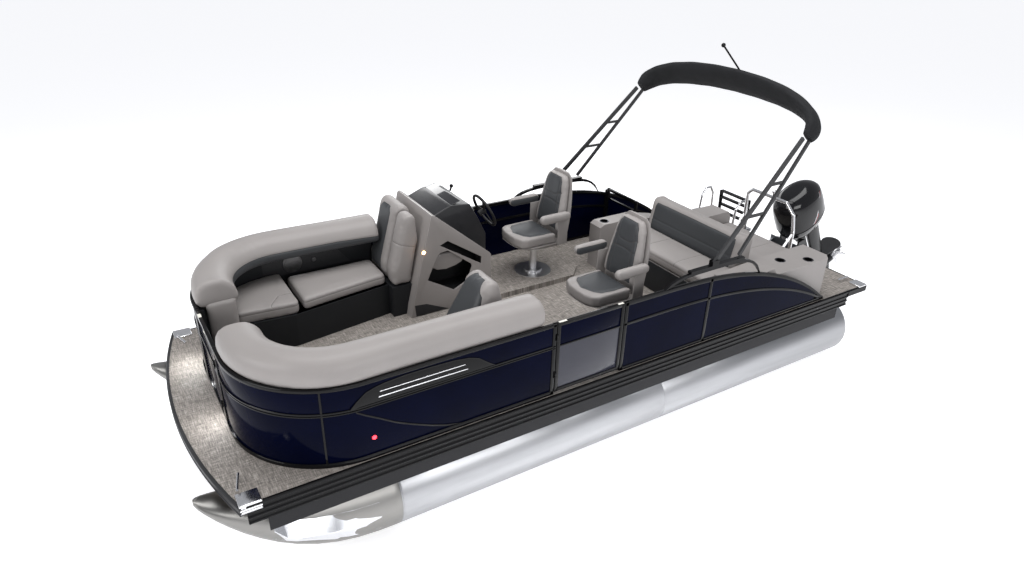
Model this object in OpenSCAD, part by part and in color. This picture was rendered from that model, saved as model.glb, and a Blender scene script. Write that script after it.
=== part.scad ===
// Tritoon pontoon boat with a curved bow deck, railed cockpit, helm, stowed canopy and a tilted outboard.
// Millimetres. Stations run aft along +X, starboard is +Y and +Z is up from the bottom of the tubes.

/* [Hull] */
// Width over the rub rails
beam = 2590; // [2450:10:2750]
// Length of the deck along its side edges
deck_len = 6630; // [6300:10:7200]
// Height of the deck's upper face above the bottom of the tubes
deck_h = 900; // [860:10:1000]
// Thickness of the deck board
deck_t = 32; // [20:1:45]
// How far the middle of the bow edge stands ahead of its corners
bow_bulge = 200; // [120:10:280]
// Diameter of each tube
tube_d = 635; // [580:5:640]
// Distance of the outer tubes from the centre line
tube_spread = 960; // [900:10:1000]
// Length of the tapering nose of each tube
nose_len = 1410; // [1100:10:1600]
// How far the outer noses reach ahead of the deck corners
nose_reach = 270; // [150:10:320]
// Depth of the rub rail along the sides
rail_h = 170; // [120:5:180]
// Thickness of the rub rail
rail_t = 25; // [15:1:35]

/* [Fence] */
// Height of the fence above the deck
fence_h = 680; // [560:10:760]
// Thickness of the fence frame
fence_t = 32; // [25:1:40]
// Radius of the fence at the bow corners
fence_r = 800; // [700:10:850]
// Distance of the fence front from the deck corners
fence_front = 110; // [80:5:200]
// Width of the bow gate
bow_gate_w = 660; // [560:10:700]
// Station where the side gate begins
side_gate_x = 2517; // [2480:1:2600]
// Width of the side gate opening
side_gate_w = 681; // [600:1:720]
// Station of the stern gate
stern_gate_x = 4950; // [4900:10:5050]
// Width of the stern gate
stern_gate_w = 540; // [480:10:560]
// Height of the middle rail above the deck at the bow
mid_rail_z = 445; // [400:5:480]
// Rise of the aft middle rail's hump above the deck
hump_h = 484; // [450:2:520]

/* [Seats] */
// Height of the seat bases
base_h = 315; // [280:5:340]
// Thickness of the seat cushions
cushion_t = 125; // [90:5:140]
// Wall of the moulded seat bases
base_wall = 10; // [6:1:16]
// Station where the bow benches end
bench_end = 1880; // [1800:10:1900]
// Distance of the bow benches' inner edge from the centre line
bench_y = 500; // [440:10:540]
// Width of the padded coaming
coaming_w = 370; // [320:10:380]
// Height of the padded coaming above the fence
coaming_h = 205; // [160:5:230]
// Station of the rear lounge's front edge
lounge_x = 4450; // [4400:10:4500]
// Depth of the rear lounge seat
lounge_depth = 470; // [430:5:490]
// Radius of a cup holder
cup_r = 45; // [38:1:48]

/* [Helm] */
// Station of the console's foot
console_x = 2015; // [2000:5:2050]
// Length of the console at the deck
console_len = 885; // [860:5:900]
// Distance of the console's port face from the centre line
console_y = 450; // [400:10:480]
// Height of the console's shoulder above the deck
console_h = 1025; // [960:5:1060]
// Radius of the steering wheel
wheel_r = 190; // [160:5:195]
// Slope of the steering shaft
wheel_slope = 25; // [15:1:30]
// Height of the raised helm floor
helm_floor_h = 55; // [30:5:70]
// Station of the helm chair
helm_chair_x = 3570; // [3560:5:3620]
// Station of the port chair
port_chair_x = 3460; // [3440:5:3500]
// Distance of the helm chair from the centre line
helm_chair_y = 700; // [680:5:710]
// Distance of the port chair from the centre line
port_chair_y = 650; // [600:5:680]
// Height of the chair seats above the deck
chair_seat_h = 550; // [520:5:580]
// Height of the chair backs above the seats
chair_back_h = 630; // [560:5:660]

/* [Canopy] */
// Station of the canopy pivots
canopy_x = 4200; // [4150:10:4260]
// Height of the canopy pivots above the deck
canopy_z = 810; // [800:5:840]
// Length of the canopy legs
leg_len = 1400; // [1300:10:1450]
// Lean of the canopy legs from upright, towards the stern
leg_lean = 46; // [40:1:48]
// Rise of the stowed canopy's arch above the legs
arch_rise = 370; // [320:10:450]
// Width of the canopy tubes
canopy_tube = 30; // [25:1:38]

/* [Stern] */
// Station of the outboard's tilt axis
tilt_x = 7030; // [7020:5:7060]
// Height of the outboard's tilt axis
tilt_z = 880; // [870:5:900]
// Tilt of the parked outboard from upright
motor_tilt = 30; // [0:1:45]
// Radius of the propeller
prop_r = 185; // [160:5:190]
// Radius of the tow bar's tube
tow_r = 19; // [15:1:25]
// Width of the boarding ladder
ladder_w = 470; // [400:10:480]

/* [Hidden] */

half = beam / 2;
tube_r = tube_d / 2;
deck_edge = half - rail_t;
fence_y = deck_edge - 5;
fence_top = deck_h + fence_h;
// Radius of the bow edge, from its bulge and the beam
bow_r = (half * half + bow_bulge * bow_bulge) / (2 * bow_bulge);
corner_x = fence_front + fence_r;
corner_y = fence_y - fence_r;
tube_end = deck_len - 130;
front_rail_h = 70;
seat_z = deck_h + base_h;
gap = 0.3;
hinge_gap = 0.5;
gate_gap = 6;
hinge_r = 8;
leaf_t = 4;
post_w = 36;
bow_half = bow_gate_w / 2;
side_gate_end = side_gate_x + side_gate_w;
// Stations where the aft fence starts to fall and where it meets the deck
fall_x = 3700;
fall_end = deck_len - 690;
wall_in = fence_t + 44;
coaming_end_port = side_gate_x - 90;
coaming_end_starboard = 1930;
seat_top = seat_z + cushion_t;
chair_z = deck_h + chair_seat_h;
canopy_pivot = [canopy_x, 0, deck_h + canopy_z];
// Rear end of the propeller nut, from the tilt axis, in the upright outboard's frame
nut_end = 720;
prop_z = -800;
nut_r = 18;
aft_end = tilt_x + nut_end * cos(motor_tilt) + (nut_r - prop_z) * sin(motor_tilt);
// The row's origin lies under the middle of the whole length
x_mid = (aft_end - nose_reach) / 2;

// ---------- shared forms ----------
module boat() translate([-x_mid, 0, 0]) children();
module other_side() mirror([0, 1, 0]) children();
module both_sides() {
    children();
    other_side() children();
}
module block(from, to) translate(from) cube(to - from);

// A round bar from one point to another
module bar(p, q, r) {
    d = q - p;
    length = norm(d);
    translate(p) rotate([0, acos(d[2] / length), atan2(d[1], d[0])]) cylinder(h = length, r = r, $fn = 32);
}
// A bent tube: bars with a slightly proud ball at each bend
bend_swell = 1.05;
module bent_tube(path, r) {
    for (i = [0:len(path) - 2]) bar(path[i], path[i + 1], r);
    for (i = [1:len(path) - 2]) translate(path[i]) sphere(r * bend_swell, $fn = 32);
}
// A side outline (station, height) with a thickness from y0 to y1
module side_plate(outline, y0, y1)
    translate([0, y1, 0]) rotate([90, 0, 0]) linear_extrude(y1 - y0) polygon(outline);

// A section (distance in from the fence's outer face, height) run along the port bow, to x_to and y_to
module fence_run(x_to, y_to) {
    translate([corner_x, 0, 0]) rotate([90, 0, 90]) linear_extrude(x_to - corner_x)
        translate([-fence_y, 0]) children();
    translate([corner_x, -corner_y, 0]) rotate([0, 0, 180]) rotate_extrude(angle = 90, $fn = 96)
        translate([fence_r, 0]) mirror([1, 0]) children();
    translate([fence_front, y_to, 0]) rotate([90, 0, 0]) linear_extrude(y_to + corner_y) children();
}
// The space inside the fence, at a distance from its outer face
module inside_fence(inset, z0, z1) {
    r = fence_r - inset;
    both_sides() translate([corner_x, -corner_y, z0]) cylinder(h = z1 - z0, r = r, $fn = 96);
    block([corner_x, -fence_y + inset, z0], [deck_len, fence_y - inset, z1]);
    block([fence_front + inset, -corner_y, z0], [corner_x, corner_y, z1]);
}
// Height above the deck of a rail that falls aft in one long curve
function fall(x, x0, x1, h) = h * pow(max(0, 1 - pow((x - x0) / (x1 - x0), 2.5)), 0.9);
function fall_line(x0, x1, h, from, to, n) =
    [for (i = [0:n]) let (x = from + (to - from) * i / n) [x, deck_h + (x < x0 ? h : fall(x, x0, x1, h))]];

// ---------- hull ----------
// Nose sections: full round at the back, rising to a small tip at the front
nose_steps = 6;
nose_tip_z = 815;
nose_tip_r = 22;
function nose_low(t) = (nose_tip_z - 2 * nose_tip_r) * pow(t, 2.6);
function nose_high(t) = tube_d + (nose_tip_z - tube_d) * t * t;
function nose_wide(t) = nose_tip_r + (tube_r - nose_tip_r) * pow(1 - pow(t, 2.4), 0.62);
module nose_slice(t, root)
    translate([root - nose_len * t, 0, (nose_low(t) + nose_high(t)) / 2]) rotate([0, 90, 0])
        scale([(nose_high(t) - nose_low(t)) / 2, nose_wide(t), 1]) cylinder(h = 1, r = 1, $fn = 40);

riser_w = 110;
channel_h = 75;
channel_w = 60;
under_deck = deck_h - deck_t;
module pontoon(tip) {
    root = tip + nose_len;
    translate([root, 0, tube_r]) rotate([0, 90, 0]) cylinder(h = tube_end - root, r = tube_r, $fn = 96);
    for (i = [0:nose_steps - 1]) hull() {
        nose_slice(i / nose_steps, root);
        nose_slice((i + 1) / nose_steps, root);
    }
    // Weld rings
    for (x = [root, (root + tube_end) / 2]) translate([x, 0, tube_r]) rotate([0, 90, 0])
        cylinder(h = 20, r = tube_r, $fn = 96);
    // Riser that carries the cross channels
    difference() {
        block([root - 500, -riser_w / 2, tube_d - 20], [tube_end - 120, riser_w / 2, under_deck - channel_h]);
        block([root - 600, -riser_w / 2 + 8, tube_d + 8], [tube_end, riser_w / 2 - 8,
            under_deck - channel_h - 8]);
    }
}
module port_pontoon() color("silver") boat() translate([0, -tube_spread, 0]) pontoon(-nose_reach);
module starboard_pontoon() color("silver") boat() translate([0, tube_spread, 0]) pontoon(-nose_reach);
module center_pontoon() color("silver") boat() pontoon(60);

channels = 9;
module crossmembers() color("darkgray") boat() {
    first = 700;
    last = tube_end - 200;
    for (i = [0:channels - 1]) translate([first + (last - first) * i / (channels - 1), 0,
        under_deck - channel_h])
        difference() {
            block([0, -deck_edge + 40, 0], [channel_w, deck_edge - 40, channel_h]);
            block([6, -deck_edge + 30, 6], [channel_w + 1, deck_edge - 30, channel_h - 6]);
        }
}

pod_w = 460;
transom_x = tilt_x - 100;
pod_top = tilt_z - 30;
pod_z = tube_d + 20;
module motor_pod() color("dimgray") boat() {
    // Closed box that runs aft from the centre tube and ends in the transom plate
    difference() {
        block([tube_end, -pod_w / 2, 240], [transom_x - 12, pod_w / 2, pod_z]);
        block([tube_end + 10, -pod_w / 2 + 10, 250], [transom_x - 22, pod_w / 2 - 10, pod_z - 10]);
    }
    block([transom_x - 12, -pod_w / 2 - 40, 240], [transom_x, pod_w / 2 + 40, pod_top]);
    both_sides() side_plate([[tube_end + 120, pod_z], [transom_x - 12, pod_z],
        [transom_x - 12, pod_top - 20], [transom_x - 60, pod_top - 20]], pod_w / 2 - 30, pod_w / 2 - 10);
}

module deck_plan(edge, z0, z1, back) intersection() {
    translate([bow_r - bow_bulge, 0, z0]) cylinder(h = z1 - z0, r = bow_r + edge - deck_edge, $fn = 360);
    block([-bow_bulge - 100, -edge, z0], [back, edge, z1]);
}
module deck() color("tan") boat() deck_plan(deck_edge, under_deck, deck_h, deck_len - rail_t);

module rub_rail() color("black") boat() {
    rail_top = deck_h;
    // Shallow edge round the bow and stern
    difference() {
        deck_plan(half, rail_top - front_rail_h, rail_top, deck_len);
        deck_plan(deck_edge, rail_top - front_rail_h - 1, rail_top + 1, deck_len - rail_t);
    }
    // Deep ribbed band along the sides
    both_sides() block([20, -half, rail_top - rail_h], [deck_len - 300, -deck_edge, rail_top - front_rail_h]);
}

skirt_h = 120;
skirt_t = 8;
module side_skirts() color("dimgray") boat() both_sides()
    block([150, -half + 10, deck_h - rail_h - skirt_h], [deck_len - 430, -half + 10 + skirt_t,
        deck_h - rail_h]);

module corner_castings() color("silver") boat() {
    cap = 150;
    // Corner caps at the bow and the stern, on top of the rub rail
    both_sides() {
        intersection() {
            deck_plan(half, deck_h, deck_h + 6, deck_len);
            block([-60, -half, deck_h], [cap, -half + cap, deck_h + 6]);
        }
        block([deck_len - cap, -half, deck_h], [deck_len, -half + cap, deck_h + 6]);
    }
}

cleat_len = 170;
module cleat() {
    for (s = [-1, 1]) translate([s * cleat_len / 5, 0, 0]) cylinder(h = 30, r = 9, $fn = 24);
    translate([-cleat_len / 2, 0, 35]) rotate([0, 90, 0]) cylinder(h = cleat_len, r = 10, $fn = 24);
}
module cleats() color("silver") boat() both_sides() {
    translate([25, -half + 230, deck_h]) rotate([0, 0, 75]) cleat();
    translate([deck_len - 160, -half + 200, deck_h]) cleat();
}

// ---------- fence ----------
rail_sq = 34;
function box_section(u0, u1, z0, z1) = [[u0, z0], [u1, z0], [u1, z1], [u0, z1]];
module bow_frame(x_to) {
    for (z = [deck_h, deck_h + mid_rail_z, fence_top - rail_sq])
        fence_run(x_to, -bow_half - gate_gap - post_w)
            polygon(box_section(0, fence_t, z, z + rail_sq));
    // Gate post at the bow
    block([fence_front, -bow_half - gate_gap - post_w, deck_h],
        [fence_front + fence_t, -bow_half - gate_gap, fence_top]);
}
// Upright post in the side fence
module side_post(x, top) block([x, -fence_y, deck_h], [x + post_w, -fence_y + fence_t, top]);
// Inner post, hidden behind the panels of the bow fence
inner_post_x = 1300;
module inner_post() block([inner_post_x, -fence_y + panel_in + panel_t, deck_h],
    [inner_post_x + post_w, -fence_y + fence_t, fence_top]);
// Curved rails of the aft fence
module aft_frame(from) {
    n = 14;
    top = fall_line(fall_x, fall_end, fence_h, from, fall_end, n);
    under = [for (i = [n:-1:0]) top[i] - [0, rail_sq]];
    mid_end = fall_end - 10;
    rise_x = 3650;
    mid = [for (i = [0:n]) let (x = from + (mid_end - from) * i / n)
        [x, deck_h + (x < rise_x ? hump_h - (hump_h - mid_rail_z - rail_sq) * pow((rise_x - x) / (rise_x - from), 2)
            : fall(x, rise_x, mid_end, hump_h))]];
    low = [for (i = [n:-1:0]) mid[i] - [0, 0.8 * rail_sq]];
    intersection() {
        union() {
            side_plate(concat(top, under), -fence_y, -fence_y + fence_t);
            side_plate(concat(mid, low), -fence_y, -fence_y + fence_t);
        }
        block([from, -fence_y, deck_h], [fall_end, -fence_y + fence_t, fence_top]);
    }
    block([from, -fence_y, deck_h], [fall_end - 10, -fence_y + fence_t, deck_h + rail_sq]);
}
function aft_top(x) = deck_h + (x < fall_x ? fence_h : fall(x, fall_x, fall_end, fence_h));
seam_x = 4180;
module fence_frame_port() {
    bow_frame(side_gate_x - gate_gap);
    side_post(side_gate_x - gate_gap - post_w, fence_top);
    inner_post();
    aft_frame(side_gate_end + gate_gap);
    side_post(side_gate_end + gate_gap, fence_top);
    side_post(seam_x, aft_top(seam_x + post_w));
}
module fence_frame_starboard() other_side() {
    bow_frame(side_gate_x - gate_gap);
    inner_post();
    side_post(side_gate_x - gate_gap - post_w, fence_top);
    aft_frame(side_gate_x - gate_gap);
    side_post(seam_x, aft_top(seam_x + post_w));
    // Post that carries the stern gate
    block([stern_gate_x - 14, -fence_y + fence_t, deck_h], [stern_gate_x + 14, -fence_y + fence_t + 30,
        fence_top - 100]);
}
panel_in = 8;
panel_t = 12;
// Length of the fence's tip that the rails close without a sheet
panel_tail = 160;
module panel_sheet(x_from, x_to) {
    n = 16;
    // The sheet ends inside the top rail
    line = fall_line(fall_x, fall_end, fence_h - rail_sq / 2, x_from, x_to, n);
    side_plate(concat([[x_to, deck_h], [x_from, deck_h]], line), -fence_y + panel_in,
        -fence_y + panel_in + panel_t);
}
// One half of a gate hinge: barrels on an upright axis, each with a leaf that reaches along turn.
// side says on which side of the axis the leaf lies, and lift stacks one half on the other
barrel_h = 30;
leaf_len = 26;
hinge_z = [160, 520];
module hinge_half(at, turn, side, lift) for (z = hinge_z)
    translate([at[0], at[1], deck_h + z + lift]) rotate([0, 0, turn]) {
        cylinder(h = barrel_h, r = hinge_r, $fn = 24);
        translate([0, side > 0 ? hinge_r - leaf_t : -hinge_r, 0]) cube([leaf_len, leaf_t, barrel_h]);
    }
upper_half = barrel_h + hinge_gap;
bow_axis = [fence_front - hinge_r, -bow_half - gate_gap / 2];
side_axis = [side_gate_x - gate_gap / 2, -fence_y - hinge_r];
stern_axis = [stern_gate_x + 14 + hinge_r, fence_y - fence_t - 30 - gate_gap / 2];

module port_fence_frame() color("black") boat() {
    fence_frame_port();
    hinge_half(bow_axis, -90, 1, 0);
    hinge_half(side_axis, 180, -1, 0);
}
// Curved bow sheets: one band below the middle rail and one above it
module bow_panels() {
    middle = deck_h + mid_rail_z;
    for (band = [[deck_h + rail_sq, middle], [middle + rail_sq, fence_top - rail_sq]])
        fence_run(side_gate_x - gate_gap - post_w, -bow_half - gate_gap - post_w)
            polygon(box_section(panel_in, panel_in + panel_t, band[0], band[1]));
}
module port_bow_panels() color("midnightblue") boat() bow_panels();
module port_aft_panels() color("midnightblue") boat() difference() {
    panel_sheet(side_gate_end + gate_gap + post_w, fall_end - panel_tail);
    fence_frame_port();
}
module starboard_fence_frame() color("black") boat() {
    fence_frame_starboard();
    hinge_half(stern_axis, 90, 1, 0);
}
module starboard_bow_panels() color("midnightblue") boat() other_side() bow_panels();
module starboard_aft_panels() color("midnightblue") boat() difference() {
    other_side() panel_sheet(side_gate_x - gate_gap, fall_end - panel_tail);
    fence_frame_starboard();
}

// ---------- gates ----------
sill = 20;
// Height of a gate's bar above its sill, level with the middle of the fence's rail
gate_bar_z = mid_rail_z + rail_sq / 4 - sill;
// A flat gate in the plane of the first two axes: tube frame round a thinner panel
module gate_leaf(w, h, t, bars) {
    difference() {
        cube([w, t, h]);
        translate([rail_sq, -1, rail_sq]) cube([w - 2 * rail_sq, t + 2, h - 2 * rail_sq]);
    }
    for (z = bars) translate([rail_sq, 0, z]) cube([w - 2 * rail_sq, t, rail_sq / 2]);
    translate([rail_sq, panel_in, rail_sq]) cube([w - 2 * rail_sq, panel_t, bars[0] - rail_sq]);
    if (len(bars) > 1) translate([rail_sq, panel_in, bars[0] + rail_sq / 2])
        cube([w - 2 * rail_sq, panel_t, bars[1] - bars[0] - rail_sq / 2]);
}
module bow_gate() color("black") boat() {
    translate([fence_front + fence_t, -bow_half, deck_h + sill]) rotate([0, 0, 90])
        gate_leaf(bow_gate_w, fence_h - sill, fence_t, [gate_bar_z, fence_h - sill - rail_sq]);
    hinge_half(bow_axis, 90, -1, upper_half);
}
module side_gate() color("black") boat() {
    translate([side_gate_x, -fence_y, deck_h + sill])
        gate_leaf(side_gate_w, fence_h - sill, fence_t, [gate_bar_z, fence_h - sill - rail_sq]);
    hinge_half(side_axis, 0, 1, upper_half);
}
stern_gate_h = 590;
module stern_gate() color("black") boat() {
    at_y = fence_y - fence_t - 30 - gate_gap;
    translate([stern_gate_x - 14, at_y, deck_h + sill]) rotate([0, 0, -90])
        gate_leaf(stern_gate_w, stern_gate_h, 28, [stern_gate_h - 130]);
    hinge_half(stern_axis, -90, -1, upper_half);
}

// ---------- bow seats ----------
corner_end = 1000;
// Outline of a bench in plan (port side), grown or shrunk by an edge distance
function bench_plan(from, to, e) = [[from + e, -fence_y], [from + e, -bench_y - 40 - e], [930, -bench_y - e],
    [to - e, -bench_y - 150 - e], [to - e, -fence_y]];
module bench_solid(inset, from, to, e, z0, z1) intersection() {
    inside_fence(inset, z0, z1);
    translate([0, 0, z0 - 1]) linear_extrude(z1 - z0 + 2) polygon(bench_plan(from, to, e));
}
bench_front = 430;
base_in = wall_in + 2;
module bench_base() {
    difference() {
        bench_solid(base_in, bench_front + 20, bench_end, 0, deck_h, seat_z);
        bench_solid(base_in + base_wall, bench_front + 20, bench_end, base_wall, deck_h + base_wall,
            seat_z + 1);
    }
    // Deck under the fixed corner cushion
    bench_solid(base_in + base_wall, bench_front + 20 + base_wall, corner_end, 0, seat_z - base_wall, seat_z);
}
module port_bench_base() color("dimgray") boat() {
    bench_base();
    // Locker that carries the port chaise back
    difference() {
        block([bench_end, -fence_y + wall_in, deck_h], [coaming_end_port, -bench_y + 100, seat_z]);
        block([bench_end + base_wall, -fence_y + wall_in + base_wall, deck_h + base_wall],
            [coaming_end_port - base_wall, -bench_y + 100 - base_wall, seat_z - base_wall]);
    }
}
riser_y = [560, 1170];
console_lean = 240;
// Foot of the console's front at the height of the seat bases
console_at_seat = console_x + console_lean * base_h / console_h;
module starboard_bench_base() color("dimgray") boat() {
    other_side() bench_base();
    // Riser under the starboard chaise back
    difference() {
        side_plate([[bench_end, deck_h], [bench_end, seat_z], [console_at_seat - 4, seat_z],
            [console_x - 4, deck_h]],
            riser_y[0], riser_y[1]);
        side_plate([[bench_end + base_wall, deck_h + base_wall], [bench_end + base_wall, seat_z - base_wall],
            [console_at_seat - 20, seat_z - base_wall], [console_x - 20, deck_h + base_wall]],
            riser_y[0] + base_wall, riser_y[1] - base_wall);
    }
}

lid_out = 1085;
module bench_lid() intersection() {
    bench_solid(wall_in, corner_end + 5, bench_end - 5, 0, seat_z + gap, seat_top);
    block([corner_end, -lid_out, seat_z], [bench_end, 0, seat_top + 1]);
}
module port_bench_cushion() color("gainsboro") boat() bench_lid();
module starboard_bench_cushion() color("gainsboro") boat() other_side() bench_lid();
module bow_corner_cushions() color("gainsboro") boat() both_sides()
    bench_solid(wall_in + 4, bench_front, corner_end - 2, 0, seat_z, seat_top);
under_coaming = fence_top - 36;
module bow_side_walls() color("dimgray") boat() {
    fence_run(coaming_end_port, -bow_half - 20)
        polygon(box_section(fence_t + 2, wall_in, deck_h, under_coaming));
    other_side() fence_run(coaming_end_starboard, -bow_half - 20)
        polygon(box_section(fence_t + 2, wall_in, deck_h, under_coaming));
}
// Half-round padded roll that caps the fence and hangs inside it
coaming_mid = coaming_h * 0.3;
function coaming_section() = concat(
    [for (a = [180:-15:0]) [coaming_w / 2 + (coaming_w / 2 - 6) * cos(a),
        fence_top + coaming_mid + (coaming_h - coaming_mid) * sin(a)]],
    [[coaming_w - 14, under_coaming + 14], [coaming_w - 40, under_coaming], [fence_t + 4, under_coaming],
        [fence_t + 4, fence_top + 1], [6, fence_top + 1]]);
module coaming(x_to) {
    fence_run(x_to, -bow_half - 20) polygon(coaming_section());
    // End cap that closes the roll beside the bow gate
    block([fence_front + wall_in, -bow_half - 90, deck_h + 120],
        [fence_front + coaming_w - 20, -bow_half - 20, under_coaming + 20]);
}
module port_coaming() color("gainsboro") boat() coaming(coaming_end_port);
module starboard_coaming() color("gainsboro") boat() other_side() coaming(coaming_end_starboard);

// Reclined chaise backs at the aft end of each bow bench
chaise_top = seat_top + 625;
module port_chaise_back() color("gray") boat() intersection() {
    inside_fence(wall_in + 4, seat_z, fence_top + 400);
    side_plate([[bench_end + 10, seat_z], [bench_end + 10, seat_top + 20], [bench_end + 230, seat_top + 450],
        [bench_end + 300, seat_top + 490], [bench_end + 380, seat_top + 470], [bench_end + 510, seat_z]],
        -fence_y + coaming_w + 10, -bench_y + 90);
}
module starboard_chaise_back() color("gray") boat()
    side_plate([[bench_end + 8, seat_z], [bench_end + 8, seat_top + 30], [bench_end + 155, chaise_top - 35],
        [bench_end + 200, chaise_top], [bench_end + 285, chaise_top - 25],
        [console_x + console_lean * 0.74 - 2, deck_h + console_h * 0.74 + 8],
        [console_at_seat - 3, seat_z]], riser_y[0], riser_y[1] - 4);

// ---------- helm ----------
console_wall = 14;
console_out = fence_y - fence_t - 8;
console_end = console_x + console_len;
lip_z = deck_h + 490;
// Outlines of the two openings in the port face
upper_hatch = [[2330, 1600], [2420, 1640], [2800, 1390], [2790, 1300]];
lower_shelf = [[2190, 1260], [2300, 1510], [2420, 1540], [2690, 1330], [2640, 1160], [2480, 1090]];
module console_shell() difference() {
    side_plate([[console_x, deck_h], [console_x + console_lean, deck_h + console_h],
        [console_end, lip_z], [console_end, deck_h]], console_y, console_out);
    // Cavity behind the panels
    side_plate([[console_x + 2 * console_wall, deck_h - 1],
        [console_x + console_lean + console_wall, deck_h + console_h - 3 * console_wall],
        [console_end - console_wall, lip_z - 2 * console_wall], [console_end - console_wall, deck_h - 1]],
        console_y + console_wall, console_out - console_wall);
    for (opening = [upper_hatch, lower_shelf])
        side_plate(opening, console_y - 1, console_y + console_wall + 1);
}
dash_y0 = 520;
dash_y1 = 1130;
dash_face = [2790, 1780];
module dash_outer() side_plate([[console_x + console_lean + 40, deck_h + console_h - 60], [2480, 1960],
    [2700, 1940], dash_face, [2880, 1600], [console_end - 20, lip_z - 10]], dash_y0, dash_y1);
module helm_console() color("rosybrown") boat() {
    console_shell();
    // Dash pod that carries the wheel
    difference() {
        dash_outer();
        side_plate([[console_x + console_lean + 60, deck_h + console_h - 100], [2480, 1935], [2690, 1915],
            [dash_face[0] - 20, dash_face[1] - 10], [2855, 1600], [console_end - 50, lip_z - 40]],
            dash_y0 + console_wall, dash_y1 - console_wall);
    }
    // Round boss behind the steering wheel
    translate(wheel_at) rotate([0, 90 - wheel_slope, 0]) translate([0, 0, -boss_back - 90])
        cylinder(h = 90 - hinge_gap, r = 42, $fn = 48);
}
wheel_at = [2990, 750, 1740];
boss_back = 70;
module steering_wheel() color("black") boat() translate(wheel_at) rotate([0, 90 - wheel_slope, 0]) {
    rim_r = 14;
    rotate_extrude($fn = 72) translate([wheel_r - rim_r, 0]) circle(r = rim_r, $fn = 24);
    translate([0, 0, -boss_back]) cylinder(h = boss_back + 8, r = 34, $fn = 48);
    for (a = [90, 210, 330]) rotate([0, 0, a]) translate([20, -14, -5]) cube([wheel_r - 40, 28, 9]);
}
// Low screen that lies along the dash and lifts at its aft edge
screen_t = 6;
screen_top = [2600, 1985];
module helm_windscreen() color("black") boat() difference() {
    side_plate([[2320, 1870], [2440, 1935], screen_top, screen_top + [screen_t, -4], [2450, 1925], [2330,
        1865]],
        dash_y0 + 20, dash_y1 - 20);
    dash_outer();
}
module throttle_control() color("black") boat() {
    translate([2740, dash_y1, 1560]) {
        cube([120, 60, 190]);
        translate([60, 60, 150]) rotate([-90, 0, 0]) cylinder(h = 16, r = 24, $fn = 32);
        bar([60, 74, 150], [110, 74, 320], 10);
        translate([110, 74, 320]) sphere(20, $fn = 32);
    }
}
helm_floor_end = 4050;
module helm_floor() color("tan") boat() translate([0, 0, deck_h]) linear_extrude(helm_floor_h)
    polygon([[console_end + 1, 380], [helm_floor_end - 160, 380], [helm_floor_end, 540],
        [helm_floor_end, console_out], [console_end + 1, console_out]]);

// ---------- chairs ----------
// Pedestal: round foot plate, column and the swivel plate's fixed half
plate_r = 200;
column_r = 38;
swivel_r = 110;
module pedestal(at, floor_z, top_z) translate([at[0], at[1], floor_z]) {
    cylinder(h = 10, r = plate_r, $fn = 64);
    cylinder(h = 30, r = plate_r * 0.5, $fn = 64);
    cylinder(h = top_z - floor_z, r = column_r, $fn = 48);
    translate([0, 0, top_z - floor_z - 8]) cylinder(h = 8, r = swivel_r, $fn = 48);
}
seat_pad = 110;
shell_h = 95;
seat_half = 262;
arm_h = 250;
arm_w = 78;
swivel_z = chair_z - seat_pad - shell_h;
// The chair's own frame has its swivel axis at the origin, z = 0 at the swivel, and faces -X.
// Curved shell behind the back cushion
module back_shell() hull() {
    translate([215, -seat_half + 10, shell_h]) cube([50, 2 * seat_half - 20, 10]);
    for (s = [-1, 1]) translate([340, s * 150, shell_h + seat_pad + chair_back_h - 90]) rotate([0, 90, 0])
        cylinder(h = 20, r = 60, $fn = 32);
}
module chair_shell() {
    cylinder(h = 10, r = swivel_r, $fn = 48);
    hull() {
        translate([-60, 0, 10]) cylinder(h = 10, r = 170, $fn = 32);
        translate([-240, -seat_half + 60, shell_h - 20]) cylinder(h = 20, r = 60, $fn = 32);
        translate([-240, seat_half - 60, shell_h - 20]) cylinder(h = 20, r = 60, $fn = 32);
        translate([170, -seat_half, shell_h - 20]) cube([70, 2 * seat_half, 20]);
    }
    back_shell();
    // Arm brackets
    both_sides() block([120, seat_half, shell_h - 20], [240, seat_half + 14,
        shell_h + seat_pad + arm_h - 80]);
}
module chair_cushions() {
    // Seat
    translate([0, 0, shell_h + gap]) linear_extrude(seat_pad - gap) polygon(concat(
        [for (a = [90:15:180]) [-250 + 90 * cos(a), seat_half - 100 + 90 * sin(a)]],
        [for (a = [180:15:270]) [-250 + 90 * cos(a), -seat_half + 100 + 90 * sin(a)]],
        [[139, -seat_half + 10], [139, seat_half - 10]]));
    // Back, leaning with its shell
    rise = chair_back_h - 40;
    difference() {
        hull() {
            translate([140, -seat_half + 25, shell_h + seat_pad]) cube([75, 2 * seat_half - 50, 10]);
            for (s = [-1, 1]) translate([250, s * 140, shell_h + seat_pad + rise - 60]) rotate([0, 90, 0])
                cylinder(h = 90, r = 60, $fn = 32);
        }
        back_shell();
    }
    // Arm rests
    both_sides() block([-130, seat_half + 1, shell_h + seat_pad + arm_h - 80],
        [240, seat_half + arm_w, shell_h + seat_pad + arm_h]);
}
helm_at = [helm_chair_x, helm_chair_y];
port_at = [port_chair_x, -port_chair_y];
module helm_chair_pedestal() color("silver") boat()
    pedestal(helm_at, deck_h + helm_floor_h, swivel_z - hinge_gap);
module port_chair_pedestal() color("silver") boat() pedestal(port_at, deck_h, swivel_z - hinge_gap);
module helm_chair_shell() color("gainsboro") boat() translate([helm_at[0], helm_at[1],
    swivel_z]) chair_shell();
module port_chair_shell() color("gainsboro") boat() translate([port_at[0], port_at[1],
    swivel_z]) chair_shell();
module helm_chair_cushions() color("dimgray") boat()
    translate([helm_at[0], helm_at[1], swivel_z]) chair_cushions();
module port_chair_cushions() color("dimgray") boat()
    translate([port_at[0], port_at[1], swivel_z]) chair_cushions();

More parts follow.
